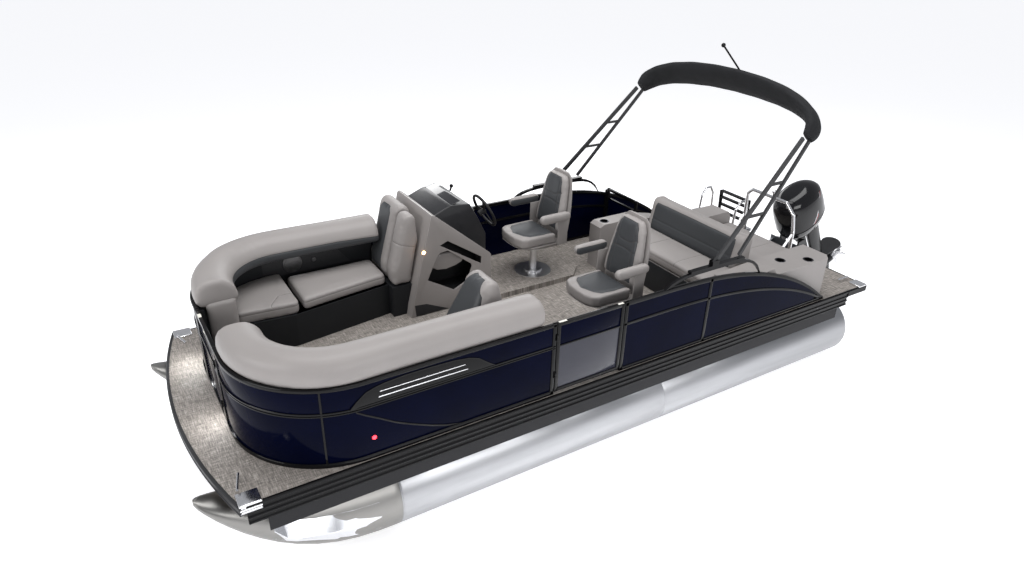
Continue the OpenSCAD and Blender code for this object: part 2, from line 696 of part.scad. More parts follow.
// ---------- rear lounge ----------
lounge_end = lounge_x + 700;
lounge_star = 440;
lounge_port = -fence_y + fence_t + 8;
arm_in = -980;
// Starboard face of the cup-holder pod, just inboard of the stern gate's free end
pod_out = fence_y - fence_t - 30 - gate_gap - stern_gate_w - 12;
module cup_hole(x, y, top) translate([x, y, top - 75]) cylinder(h = 76, r = cup_r, $fn = 48);
module lounge_base() color("gainsboro") boat() difference() {
    union() {
        difference() {
            block([lounge_x + 20, arm_in, deck_h], [lounge_end, lounge_star + 20, seat_z]);
            block([lounge_x + 20 + base_wall, arm_in + base_wall, deck_h + base_wall],
                [lounge_end - base_wall, lounge_star + 20 - base_wall, seat_z + 1]);
        }
        // Deck under the fixed back
        block([lounge_x + lounge_depth + 25, arm_in, seat_z - base_wall], [lounge_end, lounge_star + 20,
            seat_z]);
        // Port arm and starboard cup-holder pod
        side_plate([[lounge_x + 60, deck_h], [lounge_x + 90, seat_top + 60], [lounge_end - 60, seat_top + 90],
            [lounge_end, seat_top], [lounge_end, deck_h]], lounge_port, arm_in);
        side_plate([[lounge_x - 170, deck_h], [lounge_x - 170, seat_top + 50], [lounge_x - 120,
            seat_top + 80],
            [lounge_x + 330, seat_top + 80], [lounge_end, seat_top], [lounge_end, deck_h]],
            lounge_star + 20, pod_out);
    }
    cup_hole(lounge_x - 50, (lounge_star + 20 + pod_out) / 2, seat_top + 80);
}
module lounge_cushion() color("gainsboro") boat()
    block([lounge_x, arm_in + 6, seat_z + gap], [lounge_x + lounge_depth, lounge_star + 14, seat_top]);
module lounge_back() color("dimgray") boat()
    side_plate([[lounge_x + lounge_depth + 6, seat_z], [lounge_x + lounge_depth + 6, seat_top + 10],
        [lounge_x + lounge_depth + 60, seat_top + 270], [lounge_x + lounge_depth + 95, seat_top + 310],
        [lounge_end - 20, seat_top + 305], [lounge_end + 10, seat_top + 270], [lounge_end, seat_z]],
        arm_in + 90, lounge_star + 18);

// Aft-facing sun lounger between two cup-holder pods
lounger_end = deck_len - 560;
lounger_seat = deck_h + 240;
pod_top_z = deck_h + 440;
lounger_cups = [[5470, -990], [5740, -1120]];
module stern_lounger() color("gainsboro") boat() difference() {
    side_plate([[lounge_end + 12, deck_h], [lounge_end + 12, pod_top_z], [lounger_end - 60, pod_top_z],
        [lounger_end - 20, pod_top_z - 60], [lounger_end, deck_h]], -1205, lounge_star + 50);
    side_plate([[lounge_end + 12 + base_wall, deck_h + base_wall], [lounge_end + 12 + base_wall,
        lounger_seat - base_wall],
        [lounger_end - 40, lounger_seat - base_wall], [lounger_end - 40, deck_h + base_wall]],
        -1205 + base_wall, lounge_star + 50 - base_wall);
    block([lounge_end + 240, -840, lounger_seat], [lounger_end + 1, 230, pod_top_z + 1]);
    for (cup = lounger_cups) cup_hole(cup[0], cup[1], pod_top_z);
    // Corner rounded off at the fence
    translate([lounger_end, -1205, deck_h - 1]) rotate([0, 0, 45]) translate([-90, -90, 0])
        cube([180, 180, 1000]);
}
module stern_lounger_pad() color("gainsboro") boat()
    block([lounge_end + 250, -830, lounger_seat + gap], [lounger_end - 30, 220, lounger_seat + 95]);

// ---------- canopy ----------
arch_t = 28;
pivot_y = fence_y - fence_t / 2;
arch_from = 3640;
arch_to = 4840;
// Height of the canopy rail's upper edge: a long rise, a flat top and a short fall to the fence
function arch_z(x) = let (
    up = (x - arch_from) / (arch_to - arch_from),
    foot = deck_h + (x < fall_x ? fence_h : fall(x, fall_x, fall_end, fence_h)),
    top = deck_h + canopy_z - 34)
    foot + (top - foot) * pow(max(0, 1 - pow(abs(2 * up - 1), 4)), 0.8);
module canopy_rails() color("black") boat() both_sides() {
    steps = 20;
    line = [for (i = [0:steps]) let (x = arch_from + (arch_to - arch_from) * i / steps) [x, arch_z(x) + 1]];
    side_plate(concat(line, [for (i = [steps:-1:0]) line[i] - [0, i == 0 || i == steps ? 1 : arch_t]]),
        pivot_y - arch_t / 2, pivot_y + arch_t / 2);
    // Slide mount with two ears that hold the pivot pin
    mount_z = deck_h + canopy_z - 38;
    mount_from = canopy_x - 290;
    mount_to = canopy_x + second_leg + 70;
    difference() {
        block([mount_from, pivot_y - 24, mount_z], [mount_to, pivot_y + 24, mount_z + 70]);
        block([mount_from - 1, pivot_y - 25, mount_z + 24], [canopy_x - 40, pivot_y + 25, mount_z + 71]);
        block([canopy_x - 39, pivot_y - 16, mount_z + 12], [canopy_x + 41, pivot_y + 16, mount_z + 71]);
        block([canopy_x + 40, pivot_y - 25, mount_z + 24], [mount_to + 1, pivot_y + 25, mount_z + 71]);
    }
}
leg_y = pivot_y;
leg_top_y = 1150;
leg_t = 24;
// Offset of the second leg from the first, at the rail and at the top
second_leg = 300;
second_top = 120;
second_from = 12;
// Share of the leg's length where each clamp sits, and its size
clamp_at = [0.36, 0.62];
clamp_t = 16;
clamp_w = 26;
function along_leg(d) = [sin(leg_lean) * d, cos(leg_lean) * d];
// A leg from one offset ahead of the pivot line to another, starting part of the way along it
module leg(at0, at1, from_d, w) {
    slip = (leg_y - leg_top_y) / leg_len;
    function spot(d) = canopy_pivot + [at0 + (at1 - at0) * d / leg_len + along_leg(d)[0],
        leg_y - slip * d, along_leg(d)[1]];
    d = spot(leg_len) - spot(from_d);
    length = norm(d);
    translate(spot(from_d)) rotate([asin(-d[1] / length), atan2(d[0], d[2]), 0])
        translate([-w / 2, -leg_t / 2, 0]) cube([w, leg_t, length]);
}
module canopy_legs() both_sides() {
    leg(0, 0, 0, canopy_tube * 1.3);
    leg(second_leg, second_top, second_from, canopy_tube);
}
module canopy_frame() color("dimgray") boat() {
    canopy_legs();
    both_sides() canopy_joints();
}
module canopy_joints() {
    // Eye between the mount's ears
    translate(canopy_pivot + [0, leg_y - 16 + hinge_gap, 0]) rotate([-90, 0, 0])
        cylinder(h = 32 - 2 * hinge_gap, r = 22, $fn = 32);
    // Clamps that tie the second leg to the first
    for (d = clamp_at * leg_len) let (shift = second_leg + (second_top - second_leg) * d / leg_len)
        translate(canopy_pivot + [along_leg(d)[0], leg_y - (leg_y - leg_top_y) / leg_len * d - clamp_t / 2,
            along_leg(d)[1] - clamp_w / 2]) cube([shift, clamp_t, clamp_w]);
}
boot_rings = 22;
boot_sides = 12;
leg_end = canopy_pivot + [along_leg(leg_len)[0] + second_top / 2, 0, along_leg(leg_len)[1]];
// Centre line of the boot, from port to starboard
function boot_y(i) = -leg_top_y * cos(180 * i / boot_rings);
function boot_lift(i) = pow(max(0, sin(180 * i / boot_rings)), 0.8);
function boot_point(i) = leg_end
    + [sin(leg_lean) * arch_rise * boot_lift(i) * 1.1, boot_y(i), cos(leg_lean) * arch_rise * boot_lift(i)];
function boot_ring(i) = let (
    p = boot_point(i), s = boot_lift(i), wide = 100 + 80 * s, thick = 58 + 16 * s,
    slope = i < boot_rings / 2 ? 90 - 90 * s : -90 + 90 * s)
    [for (k = [0:boot_sides - 1]) let (
        a = 360 * k / boot_sides, u = wide * cos(a), v = thick * sin(a),
        // u runs fore and aft, square to the legs; v is the thickness, square to the arch
        out = [sin(leg_lean) * v * cos(slope), -sin(slope) * v, cos(leg_lean) * v * cos(slope)])
        p + [cos(leg_lean) * u, 0, -sin(leg_lean) * u] + out];
module canopy_boot() color("darkslategray") boat() {
    points = [for (i = [0:boot_rings]) each boot_ring(i)];
    faces = concat(
        [[for (k = [0:boot_sides - 1]) k]],
        [for (i = [0:boot_rings - 1]) for (k = [0:boot_sides - 1]) let (n = (k + 1) % boot_sides)
            [i * boot_sides + n, i * boot_sides + k, (i + 1) * boot_sides + k, (i + 1) * boot_sides + n]],
        [[for (k = [boot_sides - 1:-1:0]) boot_rings * boot_sides + k]]);
    difference() {
        polyhedron(points, faces, convexity = 8);
        canopy_legs();
        light_pole();
    }
}
module stern_light_pole() color("black") boat() light_pole();
module light_pole() {
    foot = boot_point(boot_rings / 2) + [sin(leg_lean) * 74, 0, cos(leg_lean) * 74 - 8];
    translate(foot - [0, 0, 4]) cylinder(h = 24, r = 30, $fn = 32);
    bar(foot, foot + [-360, 0, 330], 9);
    translate(foot + [-360, 0, 330]) sphere(22, $fn = 32);
}

// ---------- stern fittings ----------
ladder_x = deck_len + 24;
ladder_y0 = 480;
ladder_z = deck_h + 16;
rail_loop_x = deck_len - 150;
// Flat foot where a tube stands on the deck
module foot(x, y, r) translate([x, y, deck_h]) cylinder(h = 16, r = r, $fn = 32);
loop_r = 14;
rungs = [70, 165, 260, 340];
module ladder_rails() color("silver") boat() {
    for (y = [ladder_y0 - 55, ladder_y0 + ladder_w + 55]) {
        bent_tube([[rail_loop_x - 150, y, deck_h + 14], [rail_loop_x - 120, y, deck_h + 330],
            [rail_loop_x - 60, y, deck_h + 420], [rail_loop_x + 20, y, deck_h + 420],
            [rail_loop_x + 70, y, deck_h + 340], [rail_loop_x + 90, y, deck_h + 14]], loop_r);
        foot(rail_loop_x - 150, y, 30);
    }
    // Brackets that hold the ladder's hinge pins
    for (y = [ladder_y0 - 85, ladder_y0 + ladder_w + hinge_gap])
        block([rail_loop_x + 60, y, deck_h], [ladder_x + 14, y + 85 - hinge_gap, deck_h + 34]);
}
module boarding_ladder() color("black") boat() {
    side_t = 12;
    for (y = [ladder_y0, ladder_y0 + ladder_w - side_t])
        side_plate([[ladder_x - 18, ladder_z - 14], [ladder_x + 18, ladder_z - 14], [ladder_x + 24,
            ladder_z + 360],
            [ladder_x - 36, ladder_z + 360]], y, y + side_t);
    for (z = rungs) block([ladder_x - 30, ladder_y0 + side_t, ladder_z + z],
        [ladder_x + 18, ladder_y0 + ladder_w - side_t, ladder_z + z + 22]);
}
tow_x = deck_len - 250;
tow_y = [-420, 300];
tow_top = deck_h + 650;
module tow_bar() color("silver") boat() {
    bent_tube([[tow_x, tow_y[1], deck_h], [tow_x, tow_y[1], tow_top - 60], [tow_x, tow_y[1] - 60, tow_top],
        [tow_x, tow_y[0] + 160, tow_top], [tow_x, tow_y[0] + 40, tow_top - 110], [tow_x, tow_y[0],
            tow_top - 300],
        [tow_x, tow_y[0], deck_h]], tow_r);
    // Braces that run forward and down
    for (y = tow_y) {
        bar([tow_x, y, deck_h + 330], [tow_x - 260, y, deck_h + 15], tow_r * 0.7);
        foot(tow_x - 260, y, 32);
        foot(tow_x, y, 40);
    }
    // Tow eye
    translate([tow_x, (tow_y[0] + tow_y[1]) / 2, tow_top]) cylinder(h = 70, r = 12, $fn = 32);
    translate([tow_x, (tow_y[0] + tow_y[1]) / 2, tow_top + 70]) sphere(24, $fn = 32);
}

// ---------- outboard ----------
// The outboard's own frame: origin on the tilt axis, upright
module outboard() boat() translate([tilt_x, 0, tilt_z]) rotate([0, -motor_tilt, 0]) children();
bracket_y = 122;
bracket_t = 24;
steer_x = 120;
transom_gap = 100;
module motor_bracket() color("black") boat() translate([tilt_x, 0, tilt_z]) both_sides() {
    side_plate([[-transom_gap, -400], [-transom_gap + 60, -400], [10, -40], [30, 0], [10, 28], [-40, 28],
        [-transom_gap, 10]], bracket_y, bracket_y + bracket_t);
    // Foot that bolts to the transom
    block([-transom_gap, bracket_y - 4, -400], [-transom_gap + 16, bracket_y + bracket_t + 40, -30]);
}
module motor_swivel() color("black") outboard() {
    translate([0, -bracket_y + hinge_gap, 0]) rotate([-90, 0, 0])
        cylinder(h = 2 * (bracket_y - hinge_gap), r = 28, $fn = 48);
    translate([steer_x, 0, -400]) cylinder(h = 420, r = 38, $fn = 48);
    side_plate([[0, -26], [0, 20], [steer_x, 20], [steer_x, -330]], -30, 30);
}
leg_top = 60;
plate_z = -600;
gear_r = 58;
module motor_leg() color("black") outboard() {
    // Upper and lower yokes round the steering tube
    block([steer_x - 40, -45, 20 + hinge_gap], [300, 45, leg_top]);
    block([steer_x - 40, -45, -445], [300, 45, -400 - hinge_gap]);
    // Drive shaft housing
    hull() {
        translate([295, 0, leg_top - 20]) scale([1.25, 1, 1]) cylinder(h = 60, r = 80, $fn = 32);
        translate([290, 0, plate_z]) scale([2, 1, 1]) cylinder(h = 10, r = 45, $fn = 32);
    }
    // Anti-ventilation plate
    hull() {
        translate([110, 0, plate_z]) cylinder(h = 12, r = 40, $fn = 32);
        translate([560, 0, plate_z]) scale([1, 1.5, 1]) cylinder(h = 12, r = 90, $fn = 32);
    }
    // Strut, torpedo and skeg
    hull() {
        translate([200, 0, plate_z]) scale([3, 1, 1]) cylinder(h = 2, r = 35, $fn = 32);
        translate([250, 0, prop_z]) scale([3.4, 1, 1]) cylinder(h = 2, r = 28, $fn = 32);
    }
    translate([120, 0, prop_z]) rotate([0, 90, 0]) cylinder(h = 370, r = gear_r, $fn = 48);
    translate([120, 0, prop_z]) sphere(gear_r, $fn = 48);
    side_plate([[200, prop_z], [480, prop_z], [440, prop_z - 170], [430, prop_z - 240], [330,
        prop_z - 230]], -7, 7);
}
// Plan of the cowl, rounder at the front
function cowl_plan(front, back, wide) = [for (a = [0:15:345])
    let (c = cos(a), s = sin(a)) [(front + back) / 2 + (back - front) / 2 * c, wide * s * (1 - 0.12 * c)]];
module cowl_form(cut) hull() {
    translate([0, 0, 100 + cut]) linear_extrude(20) polygon(cowl_plan(-130 + cut, 440 - cut, 190 - cut));
    translate([0, 0, 220]) linear_extrude(180) polygon(cowl_plan(-170 + cut, 510 - cut, 240 - cut));
    translate([0, 0, 480]) linear_extrude(60) polygon(cowl_plan(-160 + cut, 500 - cut, 232 - cut));
    translate([0, 0, 660 - cut]) linear_extrude(16) polygon(cowl_plan(-20 + cut, 330 - cut, 140 - cut));
}
module motor_cowl() color("black") outboard() difference() {
    cowl_form(0);
    difference() {
        cowl_form(10);
        translate([250, 0, 0]) cylinder(h = 125, r = 110, $fn = 48);
    }
}
module powerhead() color("gray") outboard() block([20, -110, 125], [330, 110, 540]);
module propeller() color("black") outboard() translate([0, 0, prop_z]) rotate([0, 90, 0]) {
    hub_start = 490 + hinge_gap;
    translate([0, 0, hub_start]) cylinder(h = 160, r = 55, $fn = 48);
    translate([0, 0, hub_start]) cylinder(h = nut_end - hub_start, r = nut_r, $fn = 32);
    // Blades pitched round the hub
    for (a = [0, 120, 240]) rotate([0, 0, a]) translate([0, 0, hub_start + 80]) rotate([28, 0, 0])
        intersection() {
            translate([0, -62, -4]) cube([prop_r, 124, 8]);
            translate([prop_r * 0.58, 0, -10]) scale([1, 0.75, 1]) cylinder(h = 20,
                r = prop_r * 0.42 * 1.15, $fn = 32);
        }
}

port_pontoon();
center_pontoon();
starboard_pontoon();
crossmembers();
motor_pod();
deck();
rub_rail();
side_skirts();
corner_castings();
cleats();
port_fence_frame();
port_bow_panels();
port_aft_panels();
starboard_fence_frame();
starboard_bow_panels();
starboard_aft_panels();
bow_gate();
side_gate();
stern_gate();
port_bench_base();
starboard_bench_base();
port_bench_cushion();
starboard_bench_cushion();
bow_corner_cushions();
bow_side_walls();
port_coaming();
starboard_coaming();
port_chaise_back();
starboard_chaise_back();
helm_console();
helm_windscreen();
steering_wheel();
throttle_control();
helm_floor();
helm_chair_pedestal();
helm_chair_shell();
helm_chair_cushions();
port_chair_pedestal();
port_chair_shell();
port_chair_cushions();
lounge_base();
lounge_cushion();
lounge_back();
stern_lounger();
stern_lounger_pad();
canopy_rails();
canopy_frame();
canopy_boot();
stern_light_pole();
boarding_ladder();
ladder_rails();
tow_bar();
motor_bracket();
motor_swivel();
motor_leg();
motor_cowl();
powerhead();
propeller();
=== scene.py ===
"""Looks of the tritoon pontoon boat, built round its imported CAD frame. Metres; +X aft, +Y starboard, +Z up."""
import math

import bmesh
import bpy
import numpy as np
from mathutils import Matrix, Vector


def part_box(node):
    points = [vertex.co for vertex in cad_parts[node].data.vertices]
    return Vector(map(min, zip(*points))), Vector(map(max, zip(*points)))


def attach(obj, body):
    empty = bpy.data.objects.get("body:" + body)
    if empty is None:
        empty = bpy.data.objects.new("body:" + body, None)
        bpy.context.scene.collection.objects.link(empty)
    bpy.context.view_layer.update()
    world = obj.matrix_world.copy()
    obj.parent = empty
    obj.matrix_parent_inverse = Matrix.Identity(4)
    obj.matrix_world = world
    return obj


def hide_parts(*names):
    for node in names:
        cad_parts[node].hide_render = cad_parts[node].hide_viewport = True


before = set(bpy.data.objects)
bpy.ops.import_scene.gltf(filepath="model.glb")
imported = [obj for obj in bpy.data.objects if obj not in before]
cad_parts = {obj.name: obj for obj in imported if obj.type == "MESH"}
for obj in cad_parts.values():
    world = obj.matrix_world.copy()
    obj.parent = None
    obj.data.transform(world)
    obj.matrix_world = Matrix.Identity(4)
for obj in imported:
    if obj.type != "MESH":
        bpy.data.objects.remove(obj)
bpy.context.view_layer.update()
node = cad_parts

# ---------- camera, floor and studio light ----------
# A plain pale studio, seen from one high viewpoint ahead of the port bow.
# Big soft boxes hang above and to both sides, and the floor is pale paper.
camera_data = bpy.data.cameras.new("studio_camera")
camera_data.lens = 25.585
camera_data.sensor_width = 36
camera_data.clip_end = 200
camera = bpy.data.objects.new("studio_camera", camera_data)
bpy.context.scene.collection.objects.link(camera)
right, up, ahead = Vector((.8533, -.5210, .0225)), Vector((.2246, .4060,
                                                           .8858)), Vector((.4707, .7508, -.4635))
view = Matrix((right, up, -ahead)).transposed().to_4x4()
view.translation = (-4.3153, -5.252, 4.466)
camera.matrix_world = view
bpy.context.scene.camera = camera

world = bpy.data.worlds.new("studio")
bpy.context.scene.world = world
world.use_nodes = True
world.node_tree.nodes["Background"].inputs["Color"].default_value = (.93, .95, 1, 1)
world.node_tree.nodes["Background"].inputs["Strength"].default_value = .42
bpy.context.scene.view_settings.view_transform = "Standard"


def soft_box(name, place, target, size, watts):
    """A rectangular lamp that looks at a target."""
    data = bpy.data.lights.new(name, "AREA")
    data.shape = "RECTANGLE"
    data.size, data.size_y = size
    data.energy = watts
    lamp = bpy.data.objects.new(name, data)
    bpy.context.scene.collection.objects.link(lamp)
    lamp.location = place
    lamp.rotation_euler = (Vector(target) - Vector(place)).to_track_quat("-Z", "Y").to_euler()


soft_box("overhead", (0, 0, 7.5), (0, 0, 0), (9, 4), 470)
soft_box("port_side", (-1.5, -8.5, 4.2), (0, 0, .8), (7, 2.2), 260)
soft_box("bow_side", (-9, -1, 4.5), (0, 0, .8), (4, 2.5), 200)
soft_box("starboard_back", (3, 8.5, 5), (0, 0, .8), (7, 3), 220)


def new_finish(name, colour, roughness, metallic=0.0, coat=0.0, vary=.06, scale=5.0, stretch=(1, 1, 1),
               grain=0.0, grain_scale=500.0, rough_vary=.05, specular=.3, glow=0.0):
    """A procedural finish: colour and roughness drift softly over the piece, with a fine grain in the bump."""
    made = bpy.data.materials.new(name)
    made.use_nodes = True
    tree = made.node_tree
    shader = tree.nodes["Principled BSDF"]
    shader.inputs["Metallic"].default_value = metallic
    shader.inputs["Emission Color"].default_value = (*colour, 1)
    shader.inputs["Emission Strength"].default_value = glow
    shader.inputs["Coat Weight"].default_value = coat
    shader.inputs["Coat Roughness"].default_value = .04
    shader.inputs["Specular IOR Level"].default_value = specular
    where = tree.nodes.new("ShaderNodeTexCoord")
    turn = tree.nodes.new("ShaderNodeMapping")
    turn.inputs["Scale"].default_value = stretch
    tree.links.new(where.outputs["Object"], turn.inputs["Vector"])
    cloud = tree.nodes.new("ShaderNodeTexNoise")
    cloud.inputs["Scale"].default_value = scale
    cloud.inputs["Detail"].default_value = 5
    tree.links.new(turn.outputs["Vector"], cloud.inputs["Vector"])
    tint = tree.nodes.new("ShaderNodeValToRGB")
    tint.color_ramp.elements[0].position, tint.color_ramp.elements[1].position = .3, .7
    tint.color_ramp.elements[0].color = (*[c * (1 - vary) for c in colour], 1)
    tint.color_ramp.elements[1].color = (*[min(1, c * (1 + vary)) for c in colour], 1)
    tree.links.new(cloud.outputs["Fac"], tint.inputs["Fac"])
    tree.links.new(tint.outputs["Color"], shader.inputs["Base Color"])
    polish = tree.nodes.new("ShaderNodeMapRange")
    polish.inputs["To Min"].default_value = max(.02, roughness - rough_vary)
    polish.inputs["To Max"].default_value = min(1, roughness + rough_vary)
    tree.links.new(cloud.outputs["Fac"], polish.inputs["Value"])
    tree.links.new(polish.outputs["Result"], shader.inputs["Roughness"])
    if grain:
        fine = tree.nodes.new("ShaderNodeTexNoise")
        fine.inputs["Scale"].default_value = grain_scale
        fine.inputs["Detail"].default_value = 3
        tree.links.new(turn.outputs["Vector"], fine.inputs["Vector"])
        bump = tree.nodes.new("ShaderNodeBump")
        bump.inputs["Strength"].default_value = grain
        bump.inputs["Distance"].default_value = .001
        tree.links.new(fine.outputs["Fac"], bump.inputs["Height"])
        tree.links.new(bump.outputs["Normal"], shader.inputs["Normal"])
    return made


def dress(name, finish):
    """Gives a CAD node its finish."""
    node[name].data.materials.clear()
    node[name].data.materials.append(finish)


floor_bm = bmesh.new()
bmesh.ops.create_grid(floor_bm, x_segments=1, y_segments=1, size=140)
floor_mesh = bpy.data.meshes.new("studio_floor")
floor_bm.to_mesh(floor_mesh)
floor = bpy.data.objects.new("studio_floor", floor_mesh)
bpy.context.scene.collection.objects.link(floor)
floor_mesh.materials.append(new_finish("floor_paper", (.92, .92, .93), .8, vary=.004, specular=.05, glow=.62))

# ---------- tubes ----------
# Three sheet-aluminium tubes, 635 mm across, each closed by a nose that rises and narrows to a small tip.
# The barrels are rolled from sheets, welded ring to ring, and the nose is pressed in two halves.
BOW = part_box("rub_rail")[1].x - 6.630   # row X of the bow deck corners


def at(x, y, z):
    """A point from its station aft of the bow deck corners, its side and its height, in millimetres."""
    return Vector((BOW + x / 1000, y / 1000, z / 1000))


def carried(bm, faces, vec):
    """Faces drawn out along a vector in millimetres. The first far face comes back."""
    run = bmesh.ops.extrude_face_region(bm, geom=faces)
    drawn = [g for g in run["geom"] if isinstance(g, bmesh.types.BMVert)]
    bmesh.ops.translate(bm, vec=[c / 1000 for c in vec], verts=drawn)
    return next(g for g in run["geom"] if isinstance(g, bmesh.types.BMFace))


def along_hull(section, x0, x1):
    """A section (side, height) carried aft between two stations."""
    bm = bmesh.new()
    first = bm.faces.new([bm.verts.new(at(x0, y, z)) for y, z in section])
    carried(bm, [first], (x1 - x0, 0, 0))
    return bm


def eased(bm, edges, amount, segments=4):
    """Edges rounded by an amount in millimetres."""
    bmesh.ops.bevel(bm, geom=edges, offset=amount / 1000, offset_type="OFFSET", affect="EDGES",
                    segments=segments,
                    profile=.5, material=-1, clamp_overlap=True)
    return bm


def side_form(outline, y0, y1, edge=0.0, segments=2):
    """A side outline (station, height) carried across the boat, with its edges rounded."""
    bm = bmesh.new()
    first = bm.faces.new([bm.verts.new(at(x, y0, z)) for x, z in outline])
    carried(bm, [first], (0, y1 - y0, 0))
    bmesh.ops.recalc_face_normals(bm, faces=bm.faces)
    return eased(bm, bm.edges[:], edge, segments) if edge else bm


def finish_piece(name, bm, finish, body, replaces=(), smooth=35, mend=True):
    """Turns a bmesh into a piece at the origin that rides on a body, with edges past the angle left crisp."""
    if mend:
        bmesh.ops.remove_doubles(bm, verts=bm.verts, dist=1e-5)
        bmesh.ops.recalc_face_normals(bm, faces=bm.faces)
    mesh = bpy.data.meshes.new(name)
    bm.to_mesh(mesh)
    bm.free()
    for face in mesh.polygons:
        face.use_smooth = True
    mesh.set_sharp_from_angle(angle=math.radians(smooth))
    piece = bpy.data.objects.new(name, mesh)
    bpy.context.scene.collection.objects.link(piece)
    for one in finish if isinstance(finish, (list, tuple)) else [finish]:
        mesh.materials.append(one)
    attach(piece, body)
    if replaces:
        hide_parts(*replaces)
    return piece


def mirrored(bm):
    """The same shape on the other side of the boat."""
    bmesh.ops.scale(bm, vec=(1, -1, 1), verts=bm.verts)
    bmesh.ops.reverse_faces(bm, faces=bm.faces)
    return bm


tube_metal = new_finish("rolled_aluminium", (.40, .405, .42), .38, metallic=1, vary=.10, scale=3,
                        stretch=(.25, 3, 3),
                        grain=.25, grain_scale=260)
nose_metal = new_finish("pressed_aluminium", (.25, .245, .235), .38, metallic=1, vary=.12, scale=2.5,
                        stretch=(.3, 2, 2), grain=.25, grain_scale=260)
TUBE_R, NOSE_LEN, TIP_Z, TIP_R = 317.5, 1410, 815, 22


def nose_ring(t):
    """Half height, middle height and half width of the nose, a share t of the way to its tip."""
    low = (TIP_Z - 2 * TIP_R) * t ** 2.6
    high = 2 * TUBE_R + (TIP_Z - 2 * TUBE_R) * t * t
    wide = TIP_R + (TUBE_R - TIP_R) * (1 - t ** 2.4) ** .62
    return (high - low) / 2, (high + low) / 2, wide


def tube_shell(y, tip, end):
    """One closed tube: the nose rings, the barrel with raised weld beads, and a dished end."""
    bm = bmesh.new()
    sides, root = 72, tip + NOSE_LEN
    stations = [(root - NOSE_LEN * t, nose_ring(t)) for t in
                [1, .985, .96, .92, .87, .81, .74, .66, .57, .47, .36, .25, .13, .04]]
    round_barrel = (TUBE_R, TUBE_R, TUBE_R)
    middle = (root + end) / 2
    ring_weld = (TUBE_R - 4, TUBE_R, TUBE_R - 4)
    for weld in (root, middle):
        stations += [(weld - 14, round_barrel), (weld - 6, ring_weld), (weld, round_barrel),
                     (weld + 6, ring_weld),
                     (weld + 14, round_barrel)]
    stations += [(end - 22, round_barrel), (end - 6, (TUBE_R - 5, TUBE_R, TUBE_R - 5)),
                 (end, (TUBE_R - 22, TUBE_R, TUBE_R - 22))]
    loop = None
    for x, (half_h, mid, half_w) in stations:
        ring = bmesh.ops.create_circle(bm, segments=sides, radius=1)["verts"]
        for v in ring:
            v.co = at(x, y + v.co.x * half_w, mid + v.co.y * half_h)
        edges = list({e for v in ring for e in v.link_edges})
        if loop:
            bmesh.ops.bridge_loops(bm, edges=loop + edges)
        loop = edges
    bmesh.ops.holes_fill(bm, edges=[e for e in bm.edges if e.is_boundary], sides=0)
    bm.normal_update()
    for face in bm.faces:
        face.material_index = 1 if face.calc_center_median().x < at(root - 8, 0, 0).x else 0
    return bm


TUBE_END = 6500
RISER_SECTION = [(-55, 600), (-95, 612), (-55, 640), (-55, 790), (55, 790), (55, 640), (95, 612), (55, 600)]
for name, y, tip in (("port", -960, -270), ("center", 0, 60), ("starboard", 960, -270)):
    shell = tube_shell(y, tip, TUBE_END)
    finish_piece(f"{name}_tube", shell, [tube_metal, nose_metal], "hull",
                 (f"{name}_pontoon",), smooth=28)
    riser = along_hull([(y + u, z) for u, z in RISER_SECTION], tip + NOSE_LEN - 500, TUBE_END - 120)
    finish_piece(f"{name}_tube_riser", riser, tube_metal, "hull")


# ---------- splash fins ----------
# Triangular fins pressed from sheet aluminium, brighter than the noses they are on.
# Each is welded along the outer side of an outer nose, to turn the spray down.
SIDES = ((-1, "port"), (1, "starboard"))
fin_metal = new_finish("fin_aluminium", (.72, .73, .76), .26, metallic=1, vary=.06, scale=4,
                       stretch=(.4, 3, 3))
FIN_SPREAD = math.radians(24)
for side, name in SIDES:
    fin = bmesh.new()
    skin = []
    for x, reach in ((185, 0), (255, .8), (320, 1), (592, 1), (760, .5), (955, 0)):
        half_h, mid, half_w = nose_ring((1140 - x) / NOSE_LEN)
        root_y, root_z = 960 + half_w * math.cos(FIN_SPREAD), half_h * math.sin(FIN_SPREAD)
        outer = (960 + half_w) * (1 - reach) + 1290 * reach
        skin.append([fin.verts.new(at(x, side * y, z)) for y, z in
                     ((root_y, mid + root_z), (outer, mid + 8), (outer, mid), (root_y, mid - root_z))])
    for a, b in zip(skin, skin[1:]):
        for k in range(4):
            fin.faces.new([a[k], a[(k + 1) % 4], b[(k + 1) % 4], b[k]])
    fin.faces.new(skin[0])
    fin.faces.new(skin[-1])
    finish_piece(f"{name}_splash_fin", fin, fin_metal, "hull", smooth=20)

# ---------- under-deck lamps ----------
# Small sealed LED lamps, potted in clear resin and fixed below the deck edge.
# They light the port tube, and two more ahead of the fence light the bow deck.
for number, x in enumerate((1480, 2270, 2960, 3780, 4500)):
    soft_box(f"tube_lamp_{number + 1}", at(x, -1180, 690), at(x + 40, -1262, 420), (.30, .05), 3.2)
for number, (x, y) in enumerate(((-20, 640), (20, -300))):
    soft_box(f"bow_lamp_{number + 1}", at(x + 60, y, 1120), at(x, y, 900), (.06, .12), 1.6)

# ---------- underframe ----------
# Channels of extruded aluminium, bolted across the risers of all three tubes.
# Behind them a box welded from plate carries the transom that the outboard hangs on.
channel_metal = new_finish("mill_aluminium", (.42, .43, .45), .42, metallic=1, vary=.08, scale=8,
                           stretch=(2, .3, 2))
dress("crossmembers", channel_metal)
pod_paint = new_finish("pod_aluminium", (.30, .31, .33), .40, metallic=1, vary=.08, scale=4, grain=.2,
                       grain_scale=300)
dress("motor_pod", pod_paint)

# ---------- deck ----------
# Marine ply covered with a woven vinyl floor, glued down and trimmed at the rub rail.
# Taupe and grey yarns cross in an uneven linen weave.


